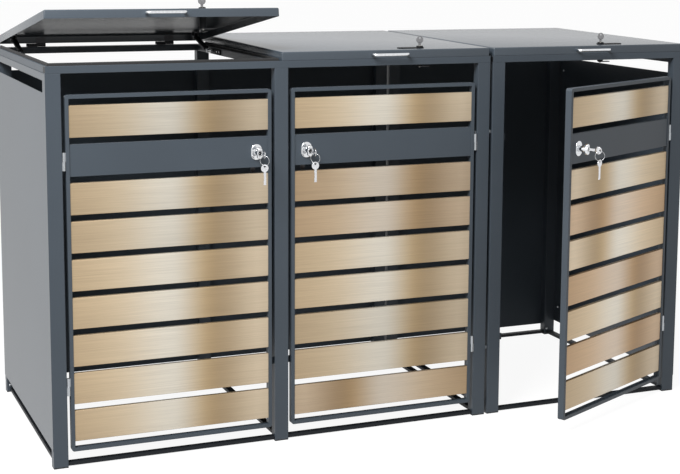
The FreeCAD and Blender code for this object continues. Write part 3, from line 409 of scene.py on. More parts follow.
# Colours along a strip, with a painted highlight: lighter towards the middle, darker near three quarters.
PAINTED_SHEEN = ((0.0, paint(184, 162, 131)), (0.26, paint(204, 187, 161)), (0.5, paint(213, 206, 192)),
         (0.64, paint(186, 166, 136)), (0.75, paint(166, 145, 115)), (0.92, paint(197, 180, 155)))
BRUSHING = (5.0, 5.0, 420.0)
BRUSHED_TONES = (0.89, 1.1)
BRUSHED_ROUGHNESS = (0.36, 0.5)
BRUSHED_DEPTH = 0.05 * MM
TURNED_STRIPS = {"1": (), "2": (9,), "3": (3, 4, 5)}
PLAIN_TONE = 0.95
STRIP_TONES = {"1": {1: 0.79, 3: 0.86, 4: 0.86, 9: 0.92},
               "2": {3: 0.75, 4: 0.8, 7: 0.84, 8: 0.87, 9: 0.75},
               "3": {1: 1.02, 3: 1.1, 5: 1.18, 6: 0.91, 7: 1.12, 8: 0.9, 9: 0.98}}
STRIP_WARMTH = {"1": {}, "2": {3: 0.5, 4: 0.5, 9: 0.5}, "3": {4: 1.0, 6: 1.0, 8: 1.0}}
WARM_SHIFT = (0.08, -0.04, -0.11)
SMOOTH_UP_TO = math.radians(35)

strip_height = (door_high - door_low - 2 * BAR - (STRIPS + 1) * STRIP_GAP) / STRIPS
strip_width = door_width - 2 * BAR


def strip_low(count):
    """Lower edge of a strip, counted from the top of the door."""
    return door_high - BAR - count * (strip_height + STRIP_GAP)


def verts_of(parts):
    return [part for part in parts if isinstance(part, bmesh.types.BMVert)]


def round_off(shape, edges, radius, steps):
    """Rounds edges by a radius in so many steps."""
    bmesh.ops.bevel(shape, geom=edges, offset=radius, segments=steps, profile=0.5, affect="EDGES",
                    material=-1)


def make_piece(name, shape, material, body, stands_for):
    """A finished piece from its bmesh, on the body that it moves with, in place of a CAD node."""
    mesh = bpy.data.meshes.new(name)
    shape.to_mesh(mesh)
    shape.free()
    mesh.shade_smooth()
    mesh.set_sharp_from_angle(angle=SMOOTH_UP_TO)
    mesh.materials.append(material)
    piece = bpy.data.objects.new(name, mesh)
    scene.collection.objects.link(piece)
    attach(piece, body)
    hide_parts(stands_for)


def folded_strip():
    """One strip with its left lower front corner at the origin: a front with both long edges bent back."""
    shape = bmesh.new()
    ends = [shape.verts.new((0, 0, 0)), shape.verts.new((0, 0, strip_height))]
    edge = shape.edges.new(ends)
    sheet = bmesh.ops.extrude_edge_only(shape, edges=[edge])
    bmesh.ops.translate(shape, verts=verts_of(sheet["geom"]), vec=(strip_width, 0, 0))
    long_edges = [edge for edge in shape.edges if abs(edge.verts[0].co.z - edge.verts[1].co.z) < MM]
    for edge in long_edges:
        fold = bmesh.ops.extrude_edge_only(shape, edges=[edge])
        bmesh.ops.translate(shape, verts=verts_of(fold["geom"]), vec=(0, STRIP_DEPTH, 0))
    round_off(shape, [edge for edge in shape.edges if len(edge.link_faces) == 2], STRIP_BEND, 4)
    bmesh.ops.recalc_face_normals(shape, faces=shape.faces)
    if sum(face.normal.y * face.calc_area() for face in shape.faces) > 0:
        bmesh.ops.reverse_faces(shape, faces=shape.faces)
    bmesh.ops.solidify(shape, geom=shape.faces, thickness=STRIP_SHEET)
    bmesh.ops.recalc_face_normals(shape, faces=shape.faces)
    return shape


def bronze_material():
    """Brushed bronze: a painted sheen, a lighter band in its colour, follows the strip's own length, and fine
    scratches run along it.
    """
    material, tree, skin = new_material("brushed bronze lacquer with a painted sheen")
    strip_map = add(tree, "ShaderNodeUVMap", {"uv_map": "along"})
    along = add(tree, "ShaderNodeSeparateXYZ", Vector=strip_map.outputs[0])
    # The painted sheen: a ramp of colours along the strip, lighter in the middle, as a painted highlight.
    painted_sheen = add(tree, "ShaderNodeValToRGB", Fac=along.outputs["X"])
    ramp = painted_sheen.color_ramp
    ramp.interpolation = "CARDINAL"
    for place, _ in PAINTED_SHEEN[1:-1]:
        ramp.elements.new(place)
    for element, (place, colour) in zip(ramp.elements, PAINTED_SHEEN):
        element.position = place
        element.color = colour
    place = tree.nodes.new("ShaderNodeTexCoord").outputs["Object"]
    stretched = add(tree, "ShaderNodeMapping", Vector=place, Scale=BRUSHING)
    brushed = add(tree, "ShaderNodeTexNoise", Vector=stretched.outputs[0], Scale=1.0, Detail=4.0,
                  Roughness=0.7)
    tone = add(tree, "ShaderNodeAttribute", {"attribute_name": "strip_tone"})
    warmth = add(tree, "ShaderNodeAttribute", {"attribute_name": "strip_warmth"})
    shift = vector(tree, "MULTIPLY_ADD", warmth.outputs["Vector"], WARM_SHIFT, (1.0, 1.0, 1.0))
    warmed = vector(tree, "MULTIPLY", painted_sheen.outputs["Color"], shift)
    factor = number(tree, "MULTIPLY", spread(tree, brushed, *BRUSHED_TONES), tone.outputs["Fac"])
    bump = add(tree, "ShaderNodeBump", Strength=0.15, Distance=BRUSHED_DEPTH, Height=brushed.outputs["Fac"])
    tree.links.new(scaled_colour(tree, warmed, factor), skin.inputs["Base Color"])
    tree.links.new(spread(tree, brushed, *BRUSHED_ROUGHNESS), skin.inputs["Roughness"])
    tree.links.new(bump.outputs["Normal"], skin.inputs["Normal"])
    skin.inputs["Metallic"].default_value = 0.75
    return material


bronze = bronze_material()
for bay in BAYS:
    for count in range(1, STRIPS + 1):
        if count == LOCK_STRIP:
            continue
        strip = folded_strip()
        run = strip.loops.layers.uv.new("along")
        tone = strip.faces.layers.float.new("strip_tone")
        warmth = strip.faces.layers.float.new("strip_warmth")
        for face in strip.faces:
            face[tone] = STRIP_TONES[bay].get(count, PLAIN_TONE)
            face[warmth] = STRIP_WARMTH[bay].get(count, 0.0)
            for loop in face.loops:
                share = loop.vert.co.x / strip_width
                loop[run].uv = (1 - share if count in TURNED_STRIPS[bay] else share, loop.vert.co.z)
        place = Matrix.Translation((door_left[bay] + BAR, door_front + STRIP_RECESS, strip_low(count)))
        bmesh.ops.transform(strip, matrix=door_turn[bay] @ place, verts=strip.verts)
        make_piece("door_%s_strip_%d" % (bay, count), strip, bronze, "door_" + bay,
                   "door_strips_" + bay)

# Lids. Each is a shallow tray pressed from coated sheet, with rounded edges all round and its rim turned down
# over the frame. The middle and right lids lie shut on their rubber, a little off level, and the left one
# stands a little open on its stays.
LID_SHEET = 1.2 * MM
LID_RIM = 24 * MM
LID_CORNER = 4 * MM
LID_DEPTH = 796 * MM
LID_OFF_LEVEL = -0.6843
AXIS_TO_FRONT = 795.4 * MM
AXIS_TO_RIM = 5 * MM
lid_coat = coated("anthracite coat on lids", COAT, roughness=0.25, edge=0.4 * MM, peel=0.08, shine=0.45)
lid_turn = {bay: turned("lid_%s_hinge" % bay, opened("lid_%s_hinge" % bay) + LID_OFF_LEVEL) for bay in BAYS}
lid_pivot = Vector(joint_of("lid_1_hinge")["pos_m"])
lid_front = lid_pivot.y - AXIS_TO_FRONT
rim_low = lid_pivot.z + AXIS_TO_RIM
lid_top = rim_low + LID_RIM
lid_span = {bay: [corner[0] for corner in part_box("lid_pan_" + bay)] for bay in BAYS}


def lid_tray(bay):
    """The tray drawn level: a block without underside, rounded and given its sheet's thickness inwards."""
    left, right = lid_span[bay]
    shape = bmesh.new()
    bmesh.ops.create_cube(shape, size=1.0)
    bmesh.ops.scale(shape, vec=(right - left, LID_DEPTH, LID_RIM), verts=shape.verts)
    middle = ((left + right) / 2, lid_front + LID_DEPTH / 2, rim_low + LID_RIM / 2)
    bmesh.ops.translate(shape, vec=middle, verts=shape.verts)
    underside = [face for face in shape.faces if face.normal.z < -0.5]
    bmesh.ops.delete(shape, geom=underside, context="FACES_ONLY")
    round_off(shape, [edge for edge in shape.edges if len(edge.link_faces) == 2], LID_CORNER, 4)
    bmesh.ops.solidify(shape, geom=shape.faces, thickness=LID_SHEET)
    bmesh.ops.recalc_face_normals(shape, faces=shape.faces)
    return shape


for bay in BAYS:
    tray = lid_tray(bay)
    bmesh.ops.transform(tray, matrix=lid_turn[bay], verts=tray.verts)
    make_piece("lid_%s" % bay, tray, lid_coat, "lid_" + bay, "lid_pan_" + bay)
    finish_nodes(dark_zinc, "zinc", "lid_fittings_" + bay)

# Lid handles. A bow of 8 mm steel rod, bent twice and chromed, and fixed to the front of the rim from inside.
# A hand goes behind it to lift the lid.
HANDLE_SPAN = 108 * MM
HANDLE_ROD = 4 * MM
HANDLE_REACH = 28 * MM
HANDLE_BEND = 9 * MM
CHROME = paint(226, 228, 231)
chrome = bare("chrome", CHROME, roughness=0.10, edge=0.3 * MM, grain=150.0)


def handle_bow(bay):
    """A ring swept out of the rim, round a bend, along the bar, round the other bend and back."""
    centre = sum(lid_span[bay]) / 2
    height = rim_low + LID_RIM / 2
    leg = HANDLE_REACH - HANDLE_ROD - HANDLE_BEND
    shape = bmesh.new()
    foot = Matrix.Translation((centre - HANDLE_SPAN / 2, lid_front, height))
    bmesh.ops.create_circle(shape, cap_ends=False, segments=20, radius=HANDLE_ROD,
                            matrix=foot @ Matrix.Rotation(math.pi / 2, 4, "X"))
    ring = list(shape.edges)

    def edges_of(parts):
        return [part for part in parts if isinstance(part, bmesh.types.BMEdge)]

    def drawn_out(edges, step):
        made = bmesh.ops.extrude_edge_only(shape, edges=edges)["geom"]
        bmesh.ops.translate(shape, vec=step, verts=verts_of(made))
        return edges_of(made)

    def bent(edges, centre_of_bend):
        made = bmesh.ops.spin(shape, geom=edges, cent=centre_of_bend, axis=(0, 0, 1), angle=math.pi / 2,
                              steps=8, use_merge=False)
        return edges_of(made["geom_last"])

    ring = drawn_out(ring, (0, -leg, 0))
    ring = bent(ring, (centre - HANDLE_SPAN / 2 + HANDLE_BEND, lid_front - leg, height))
    ring = drawn_out(ring, (HANDLE_SPAN - 2 * HANDLE_BEND, 0, 0))
    ring = bent(ring, (centre + HANDLE_SPAN / 2 - HANDLE_BEND, lid_front - leg, height))
    drawn_out(ring, (0, leg, 0))
    bmesh.ops.holes_fill(shape, edges=[edge for edge in shape.edges if edge.is_boundary], sides=0)
    bmesh.ops.recalc_face_normals(shape, faces=shape.faces)
    return shape


for bay in BAYS:
    bow = handle_bow(bay)
    bmesh.ops.transform(bow, matrix=lid_turn[bay], verts=bow.verts)
    make_piece("lid_handle_bow_" + bay, bow, chrome, "lid_" + bay, "lid_handle_" + bay)

# Door locks. A cam lock goes through the plain strip of each door: an upright oval rosette of chromed brass
# in front, a threaded barrel, and a hexagon nut that holds it against the back of the sheet.
LOCK_INSET = 45 * MM
LOCK_RADIUS = 9.5 * MM
ROSETTE_RADIUS = 16 * MM
ROSETTE_HEIGHT = 45 * MM
ROSETTE_THICKNESS = 4 * MM
ROSETTE_EDGE = 1.6 * MM
BARREL_LENGTH = 29.2 * MM
PLUG_ROOM = 6.1 * MM
NUT_RADIUS = 13 * MM
NUT_THICKNESS = 5 * MM
NUT_EDGE = 0.6 * MM
THREAD_PITCH = 1.2 * MM
THREAD_DEPTH = 0.4 * MM
SHARP_FROM = 1.0
PLATED_BRASS = paint(168, 166, 160)
lock_brass = bare("plated barrel of the locks", PLATED_BRASS, roughness=0.3, edge=0.3 * MM, grain=300.0)


def lathe(outline, ring=False, steps=32):
    """Turns an outline of radius and height about the upright axis. A ring's outline closes on itself."""
    shape = bmesh.new()
    points = [shape.verts.new((radius, 0, height)) for radius, height in outline]
    followers = points[1:] + points[:1] if ring else points[1:]
    edges = [shape.edges.new(pair) for pair in zip(points, followers)]
    bmesh.ops.spin(shape, geom=points + edges, cent=(0, 0, 0), axis=(0, 0, 1), angle=math.tau, steps=steps,
                   use_merge=True)
    bmesh.ops.remove_doubles(shape, verts=shape.verts, dist=0.002 * MM)
    bmesh.ops.recalc_face_normals(shape, faces=shape.faces)
    return shape


def moved(shape, matrix):
    bmesh.ops.transform(shape, matrix=matrix, verts=shape.verts)
    return shape


def together(*shapes):
    """Several loose shapes as one."""
    joined = bmesh.new()
    for shape in shapes:
        carrier = bpy.data.meshes.new("carrier")
        shape.to_mesh(carrier)
        shape.free()
        joined.from_mesh(carrier)
        bpy.data.meshes.remove(carrier)
    return joined


def sharp_edges(shape):
    return [edge for edge in shape.edges if edge.calc_face_angle(0) > SHARP_FROM]


def raised(shape, height):
    """Gives a flat outline a height."""
    upper = bmesh.ops.extrude_face_region(shape, geom=list(shape.faces))["geom"]
    bmesh.ops.translate(shape, vec=(0, 0, height), verts=verts_of(upper))
    bmesh.ops.recalc_face_normals(shape, faces=shape.faces)
    return shape


def oval(shape, radius, height, steps, filled):
    """An upright oval outline: a circle whose upper and lower halves are moved apart."""
    half_step = Matrix.Rotation(math.pi / steps, 4, "Z")
    bmesh.ops.create_circle(shape, cap_ends=filled, segments=steps, radius=radius, matrix=half_step)
    for vert in shape.verts:
        vert.co.y += math.copysign(height / 2 - radius, vert.co.y)


def thread(radius, start, end):
    """Outline points of a thread from one height down to another, and of the barrel's bore at its end."""
    root = radius - THREAD_DEPTH
    points = []
    for turn in range(int((start - end) / THREAD_PITCH)):
        crest = start - turn * THREAD_PITCH
        points += [(radius, crest), (root, crest - THREAD_PITCH / 2)]
    return points + [(root, end), (PLUG_ROOM, end)]


def hexagon_nut(top):
    """The nut of a lock, with its upper face at a height."""
    shape = bmesh.new()
    bmesh.ops.create_cone(shape, cap_ends=True, segments=6, radius1=NUT_RADIUS, radius2=NUT_RADIUS,
                          depth=NUT_THICKNESS, matrix=Matrix.Translation((0, 0, top - NUT_THICKNESS / 2)))
    round_off(shape, list(shape.edges), NUT_EDGE, 2)
    return shape


def rosette():
    """An upright oval plate with the barrel's hole, its back at the origin and the front of the door up."""
    shape = bmesh.new()
    steps = 48
    oval(shape, ROSETTE_RADIUS, ROSETTE_HEIGHT, steps, filled=False)
    bmesh.ops.create_circle(shape, segments=steps, radius=LOCK_RADIUS,
                            matrix=Matrix.Rotation(math.pi / steps, 4, "Z"))
    bmesh.ops.bridge_loops(shape, edges=list(shape.edges))
    raised(shape, ROSETTE_THICKNESS)
    front_rim = [edge for edge in sharp_edges(shape)
                 if min(vert.co.z for vert in edge.verts) > ROSETTE_THICKNESS / 2
                 and edge.verts[0].co.xy.length > LOCK_RADIUS + MM]
    round_off(shape, front_rim, ROSETTE_EDGE, 5)
    return shape


def door_barrel():
    """The barrel with the front of the sheet at the origin and the front of the door up."""
    front = [(PLUG_ROOM, ROSETTE_THICKNESS), (LOCK_RADIUS, ROSETTE_THICKNESS)]
    return lathe(front + thread(LOCK_RADIUS, -STRIP_SHEET, -BARREL_LENGTH), ring=True)


door_lock_z = strip_low(LOCK_STRIP) + strip_height / 2
door_lock_x = {"1": door_left["1"] + door_width - LOCK_INSET, "2": door_left["2"] + LOCK_INSET,
               "3": door_left["3"] + LOCK_INSET}
TO_FRONT = Matrix.Rotation(math.pi / 2, 4, "X")
door_lock_place = {}
for bay in BAYS:
    spot = Matrix.Translation((door_lock_x[bay], door_front + STRIP_RECESS, door_lock_z))
    place = door_lock_place[bay] = door_turn[bay] @ spot @ TO_FRONT
    for part, shape, material, slot in (("rosette", rosette(), chrome, "chrome"),
                                        ("barrel", door_barrel(), lock_brass, "chrome"),
                                        ("nut", hexagon_nut(-STRIP_SHEET), zinc_plate, "zinc")):
        make_piece("door_lock_%s_%s" % (part, bay), moved(shape, place), material, "door_" + bay,
                   "door_lock_" + bay)

# Keys. Each lock has a turning plug with a flat cam screwed to its rear end and a stamped steel key in its
# front. The plug of a door's lock turns a cast chrome wing, and a split ring in its key holds the spare key.
PLUG_RADIUS = 6 * MM
PLUG_EDGE = 0.5 * MM
KEYWAY_DEPTH = 0.4 * MM
CAM_SCREW = ((4, 0), (3.6, 1.2), (2.2, 2), (0, 2))
GRIP_FRONT = 35 * MM
GRIP_HEIGHT = 32 * MM
GRIP_WIDTH = 15 * MM
GRIP_THICKNESS = 11 * MM
GRIP_HUB = 9 * MM
GRIP_ROUND = 2.6 * MM
GRIP_PLAY = 0.05 * MM
HUB_EDGE = 0.4 * MM
HUB_NOSE = ((0, 1.4), (0.4, 0.5), (1.3, 0))
CAM_THICKNESS = 2.5 * MM
CAM_WIDTH = 14 * MM
CAM_EDGE = 0.4 * MM
CAM_PLAY = 0.3 * MM
DOOR_CAM_LENGTH = 62 * MM
LID_CAM_LENGTH = 34 * MM
KEY_THICKNESS = 2 * MM
KEY_SHANK = 8 * MM
KEY_IN_LOCK = 14 * MM
DOOR_SHANK = 22 * MM
LID_SHANK = 6 * MM
SPARE_SHANK = 36 * MM
BOW_RADIUS = 11 * MM
BOW_HOLE = 3.2 * MM
HOLE_INSET = 5.6 * MM
KEY_EDGE = 0.35 * MM
KEY_CUTS = (0.0, 1.3, 0.4, 1.9, 0.9, 1.6, 0.2, 1.1, 0.5)
KEY_GROOVE = 1.9 * MM
GROOVE_DEPTH = 0.15
RING_RADIUS = 14 * MM
RING_WIRE = 0.5 * MM
RING_SEAT = 1.5 * MM
RING_STEPS = 48
NICKEL = paint(224, 225, 228)
DULL_NICKEL = paint(138, 138, 140)
SIDEWAYS = Matrix.Rotation(math.pi / 2, 4, "Y")
bright_key = bare("nickel of the keys", NICKEL, roughness=0.16, edge=0.3 * MM, grain=250.0)
dark_key = bare("dull nickel of the lid keys", DULL_NICKEL, roughness=0.3, edge=0.3 * MM, grain=250.0)


def thickened(shape):
    """Gives a flat outline square to X the thickness of a key, half to each side."""
    bmesh.ops.solidify(shape, geom=list(shape.faces), thickness=KEY_THICKNESS)
    bmesh.ops.recalc_face_normals(shape, faces=shape.faces)
    ends = [vert.co.x for vert in shape.verts]
    bmesh.ops.translate(shape, vec=(-(min(ends) + max(ends)) / 2, 0, 0), verts=shape.verts)


def key_bow(shank):
    """The round head with its hole, above a shank that stands on the origin."""
    shape = bmesh.new()
    for radius, height in ((BOW_RADIUS, shank + BOW_RADIUS), (BOW_HOLE, shank + 2 * BOW_RADIUS - HOLE_INSET)):
        bmesh.ops.create_circle(shape, segments=36, radius=radius,
                                matrix=Matrix.Translation((0, 0, height)) @ SIDEWAYS)
    bmesh.ops.bridge_loops(shape, edges=list(shape.edges))
    thickened(shape)
    round_off(shape, sharp_edges(shape), KEY_EDGE, 2)
    return shape


def key_blade(low, high):
    """The shank with the cuts of the key along one edge and a milled groove on both faces."""
    shape = bmesh.new()
    bmesh.ops.create_grid(shape, x_segments=len(KEY_CUTS) - 1, y_segments=1, size=0.5)
    bmesh.ops.rotate(shape, cent=(0, 0, 0), matrix=Matrix.Rotation(math.pi / 2, 3, "Y"), verts=shape.verts)
    bmesh.ops.scale(shape, vec=(1, KEY_SHANK, high - low), verts=shape.verts)
    bmesh.ops.translate(shape, vec=(0, 0, (low + high) / 2), verts=shape.verts)
    cut_side = sorted((vert for vert in shape.verts if vert.co.y < 0), key=lambda vert: vert.co.z)
    for vert, depth in zip(cut_side, KEY_CUTS):
        vert.co.y += depth * MM
    thickened(shape)
    for way in (-1, 1):
        flat = [face for face in shape.faces if face.normal.x * way > 0.9]
        bmesh.ops.inset_region(shape, faces=flat, thickness=KEY_GROOVE, depth=-GROOVE_DEPTH * KEY_THICKNESS,
                               use_even_offset=True)
    return shape


def flat_key(shank, blade):
    """A key with its bow up and its blade down. The front of the plug is at the origin."""
    return together(key_bow(shank), key_blade(-blade, shank + BOW_RADIUS / 3))


def cam_plate(length):
    """A flat cam with round ends that points along X from the lock's axis, its rear face at the origin."""
    shape = bmesh.new()
    steps = 32
    bmesh.ops.create_circle(shape, cap_ends=True, segments=steps, radius=CAM_WIDTH / 2,
                            matrix=Matrix.Rotation(math.pi / steps, 4, "Z"))
    outer_end = [vert for vert in shape.verts if vert.co.x > 0]
    bmesh.ops.translate(shape, vec=(length - CAM_WIDTH / 2, 0, 0), verts=outer_end)
    raised(shape, CAM_THICKNESS)
    round_off(shape, sharp_edges(shape), CAM_EDGE, 2)
    return shape


def lock_plug(proud, length):
    """The plug with its rounded front and the keyway's dip, and the dome of the cam's screw behind it."""
    back = proud - length
    dip = [(0, proud - KEYWAY_DEPTH), (1.2 * MM, proud - KEYWAY_DEPTH), (1.4 * MM, proud)]
    side = [(PLUG_RADIUS - PLUG_EDGE, proud), (PLUG_RADIUS, proud - PLUG_EDGE), (PLUG_RADIUS, back)]
    dome = [(radius * MM, back - height * MM) for radius, height in CAM_SCREW]
    return lathe(dip + side + dome)


def grip_wing():
    """The upright wing, round at both ends, in front of the sheet whose front is at the origin."""
    shape = bmesh.new()
    oval(shape, GRIP_WIDTH / 2, GRIP_HEIGHT, 40, filled=True)
    for vert in shape.verts:
        vert.co.z = GRIP_FRONT - GRIP_THICKNESS
    raised(shape, GRIP_THICKNESS)
    round_off(shape, sharp_edges(shape), GRIP_ROUND, 6)
    return shape


def grip_hub():
    """The round hub from just before the rosette to the front of the wing, with room for the plug."""
    start = ROSETTE_THICKNESS + GRIP_PLAY
    room = PLUG_RADIUS + 2 * GRIP_PLAY
    nose = [(GRIP_HUB - inwards * MM, GRIP_FRONT - back * MM) for inwards, back in HUB_NOSE]
    return lathe([(room, start), (GRIP_HUB - HUB_EDGE, start), (GRIP_HUB, start + HUB_EDGE)] + nose
                 + [(room + HUB_EDGE, GRIP_FRONT), (room, GRIP_FRONT - PLUG_EDGE)], ring=True, steps=40)


def split_ring():
    """Two turns of spring wire, side by side, round the Y axis."""
    shape = bmesh.new()
    start = Matrix.Translation((0, -RING_WIRE, RING_RADIUS)) @ SIDEWAYS
    bmesh.ops.create_circle(shape, segments=10, radius=RING_WIRE, matrix=start)
    bmesh.ops.spin(shape, geom=list(shape.edges), cent=(0, 0, 0), axis=(0, 1, 0), angle=2 * math.tau,
                   steps=2 * RING_STEPS, dvec=(0, RING_WIRE / RING_STEPS, 0), use_merge=False)
    bmesh.ops.holes_fill(shape, edges=[edge for edge in shape.edges if edge.is_boundary], sides=0)
    bmesh.ops.recalc_face_normals(shape, faces=shape.faces)
    return shape


door_plug_length = GRIP_FRONT + BARREL_LENGTH + CAM_PLAY + CAM_THICKNESS
bow_hole_front = GRIP_FRONT + DOOR_SHANK + 2 * BOW_RADIUS - HOLE_INSET
ring_drop = RING_SEAT + RING_RADIUS
spare_drop = 2 * ring_drop
for bay in BAYS:
    place = door_lock_place[bay]
    body = "door_key_" + bay
    make_piece("door_plug_" + bay, moved(lock_plug(GRIP_FRONT, door_plug_length), place), lock_brass, body,
               body)
    make_piece("door_grip_" + bay, moved(together(grip_wing(), grip_hub()), place), chrome, body,
               body)
    cam_place = (place @ Matrix.Translation((0, 0, GRIP_FRONT - door_plug_length))
                 @ Matrix.Rotation(-math.pi / 2, 4, "Z"))
    make_piece("door_cam_" + bay, moved(cam_plate(DOOR_CAM_LENGTH), cam_place), dark_zinc, body, body)
    key_place = place @ Matrix.Translation((0, 0, GRIP_FRONT))
    make_piece("door_key_flat_" + bay, moved(flat_key(DOOR_SHANK, KEY_IN_LOCK), key_place), bright_key, body,
               body)
    hole = door_turn[bay] @ Matrix.Translation((door_lock_x[bay], door_front + STRIP_RECESS - bow_hole_front,
                                                door_lock_z))
    body = "spare_key_" + bay
    ring_place = hole @ Matrix.Translation((0, 0, -ring_drop)) @ Matrix.Rotation(-math.pi / 4, 4, "Z")
    make_piece("spare_ring_" + bay, moved(split_ring(), ring_place), chrome, body, body)
    hung = Matrix.Translation((0, 0, -spare_drop - 2 * BOW_RADIUS + HOLE_INSET - SPARE_SHANK))
    spare_place = hole @ hung @ Matrix.Rotation(-math.pi / 2, 4, "Z")
    make_piece("spare_key_flat_" + bay, moved(flat_key(SPARE_SHANK, 0), spare_place), bright_key, body,
               body)

# Lid locks. Each has a flat black plate on the lid, and beside its middle the same barrel as in the doors,
# with a low collar instead of the rosette. The key stands upright in it.
LID_LOCK_SETBACK = 42 * MM
LID_LOCK_REACH = 52 * MM
PLATE_LENGTH = 80 * MM
PLATE_DEPTH = 24 * MM
PLATE_THICKNESS = 3 * MM
PLATE_OFFSET = 87 * MM
PLATE_CORNER = 5 * MM
PLATE_EDGE = 0.8 * MM
COLLAR_RADIUS = 10 * MM
COLLAR_HEIGHT = 4 * MM
COLLAR_EDGE = 1.2 * MM
MOUTH_RADIUS = 6.8 * MM
MOUTH_DEPTH = 0.6 * MM
LID_PLUG_PROUD = PLATE_THICKNESS + COLLAR_HEIGHT + 1 * MM
BLACK = paint(22, 23, 25)
black_coat = coated("black coat", BLACK, roughness=0.5, edge=0.5 * MM, shine=0.15)


def lock_plate():
    """A plate with round corners, its underside at the origin."""
    shape = bmesh.new()
    bmesh.ops.create_cube(shape, size=1.0)
    bmesh.ops.scale(shape, vec=(PLATE_LENGTH, PLATE_DEPTH, PLATE_THICKNESS), verts=shape.verts)
    bmesh.ops.translate(shape, vec=(0, 0, PLATE_THICKNESS / 2), verts=shape.verts)
    upright = [edge for edge in shape.edges if abs(edge.verts[0].co.z - edge.verts[1].co.z) > MM]
    round_off(shape, upright, PLATE_CORNER, 5)
    upper = [edge for edge in shape.edges if min(vert.co.z for vert in edge.verts) > PLATE_THICKNESS / 2]
    round_off(shape, upper, PLATE_EDGE, 3)
    return shape


def lid_barrel():
    """The collar and barrel of a lid's lock, with the top of the lid at the origin."""
    top = PLATE_THICKNESS + COLLAR_HEIGHT
    mouth = [(PLUG_ROOM, top - MOUTH_DEPTH), (MOUTH_RADIUS, top)]
    collar = [(COLLAR_RADIUS - COLLAR_EDGE, top), (COLLAR_RADIUS, top - COLLAR_EDGE),
              (COLLAR_RADIUS, PLATE_THICKNESS), (LOCK_RADIUS, PLATE_THICKNESS)]
    return lathe(mouth + collar + thread(LOCK_RADIUS, 0, -LID_LOCK_REACH), ring=True)


lid_plug_length = LID_PLUG_PROUD + LID_LOCK_REACH + CAM_PLAY + CAM_THICKNESS
for bay in BAYS:
    body = "lid_key_" + bay
    back = lid_front + LID_LOCK_SETBACK
    plate_x = sum(lid_span[bay]) / 2 + PLATE_OFFSET
    lock_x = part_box(body)[0][0] + BOW_RADIUS
    plate_place = lid_turn[bay] @ Matrix.Translation((plate_x, back, lid_top))
    place = lid_turn[bay] @ Matrix.Translation((lock_x, back, lid_top))
    for part, shape, material, slot in (
            ("plate", moved(lock_plate(), plate_place), black_coat, "black_coat"),
            ("barrel", moved(lid_barrel(), place), black_coat, "black_coat"),
            ("nut", moved(hexagon_nut(-LID_SHEET), place), zinc_plate, "zinc")):
        make_piece("lid_lock_%s_%s" % (part, bay), shape, material, "lid_" + bay, "lid_lock_" + bay)
    make_piece("lid_plug_" + bay, moved(lock_plug(LID_PLUG_PROUD, lid_plug_length), place), lock_brass, body,
               body)
    cam_place = place @ Matrix.Translation((0, 0, LID_PLUG_PROUD - lid_plug_length))
    make_piece("lid_cam_" + bay, moved(cam_plate(LID_CAM_LENGTH), cam_place), dark_zinc, body, body)
    key_place = place @ Matrix.Translation((0, 0, LID_PLUG_PROUD)) @ Matrix.Rotation(math.pi / 2, 4, "Z")
    make_piece("lid_key_flat_" + bay, moved(flat_key(LID_SHANK, KEY_IN_LOCK), key_place), dark_key, body,
               body)

# Lid stays. Two gas stays hold each lid: a chromed rod on a stud of the side rail, and a black cylinder whose
# cross pin sits loosely in a folded lug under the lid. Each stud is part of a plate with two bright screws.
STAY_LENGTH = 145.3963 * MM
STAY_GROWTH = 0.8645 * MM
STAY_DIRECTION = 12.1485
STAY_TURNING = 0.21783
STAY_RADIUS = 8 * MM
STAY_ROUND = 1.5 * MM
STAY_ROLLED_END = ((0, 3), (0.5, 2.6), (0.5, 1), (1.4, 0))
STAY_BORE = 4.6 * MM
STAY_NECK = 22 * MM
NECK_RADIUS = 5 * MM
STAY_BODY = 100 * MM
STAY_END = 3 * MM
STAY_ROD = 4 * MM
ROD_LENGTH = 104 * MM
STAY_EYE = 7 * MM
EYE_WIDTH = 9 * MM
EYE_EDGE = 0.6 * MM
PIN_RADIUS = 2.5 * MM
PIN_LENGTH = 21 * MM
PIN_EDGE = 0.4 * MM
STUD_RADIUS = 3.5 * MM
STUD_PLAY = 0.3 * MM
STUD_HEAD = ((0, 0), (2, 0), (2, 1.4), (1.4, 2))
STAY_INSET = 14 * MM
BASE_LENGTH = 96 * MM
BASE_HEIGHT = 17 * MM
BASE_THICKNESS = 3 * MM
BASE_LEAD = 12 * MM
BASE_CORNER = 4 * MM
BASE_EDGE = 0.6 * MM
PAN_HEAD = ((0, 0.9), (1.5, 0.9), (1.6, 1.9), (2.2, 2), (3.2, 1.5), (4, 0.6), (4, 0), (0, 0))
ALONG_Y = Matrix.Rotation(-math.pi / 2, 4, "X")


def stay_cylinder():
    """The cylinder hangs below its eye, with the cross pin at the origin."""
    back = -STAY_NECK - STAY_BODY
    neck = [(0, 0), (NECK_RADIUS, 0), (NECK_RADIUS, -STAY_NECK)]
    shoulder = [(STAY_RADIUS - STAY_ROUND, -STAY_NECK), (STAY_RADIUS, -STAY_NECK - STAY_ROUND)]
    rolled = [(STAY_RADIUS - inwards * MM, back + up * MM) for inwards, up in STAY_ROLLED_END]
    bore = [(STAY_BORE, back), (STAY_BORE, -STAY_NECK - STAY_END), (0, -STAY_NECK - STAY_END)]
    return lathe(neck + shoulder + rolled + bore)


def stay_eye(room):
    """A round eye across the stay, with its hole."""
    half = EYE_WIDTH / 2
    return moved(lathe([(room, -half), (STAY_EYE - EYE_EDGE, -half), (STAY_EYE, EYE_EDGE - half),
                        (STAY_EYE, half - EYE_EDGE), (STAY_EYE - EYE_EDGE, half), (room, half)], ring=True),
                 SIDEWAYS)


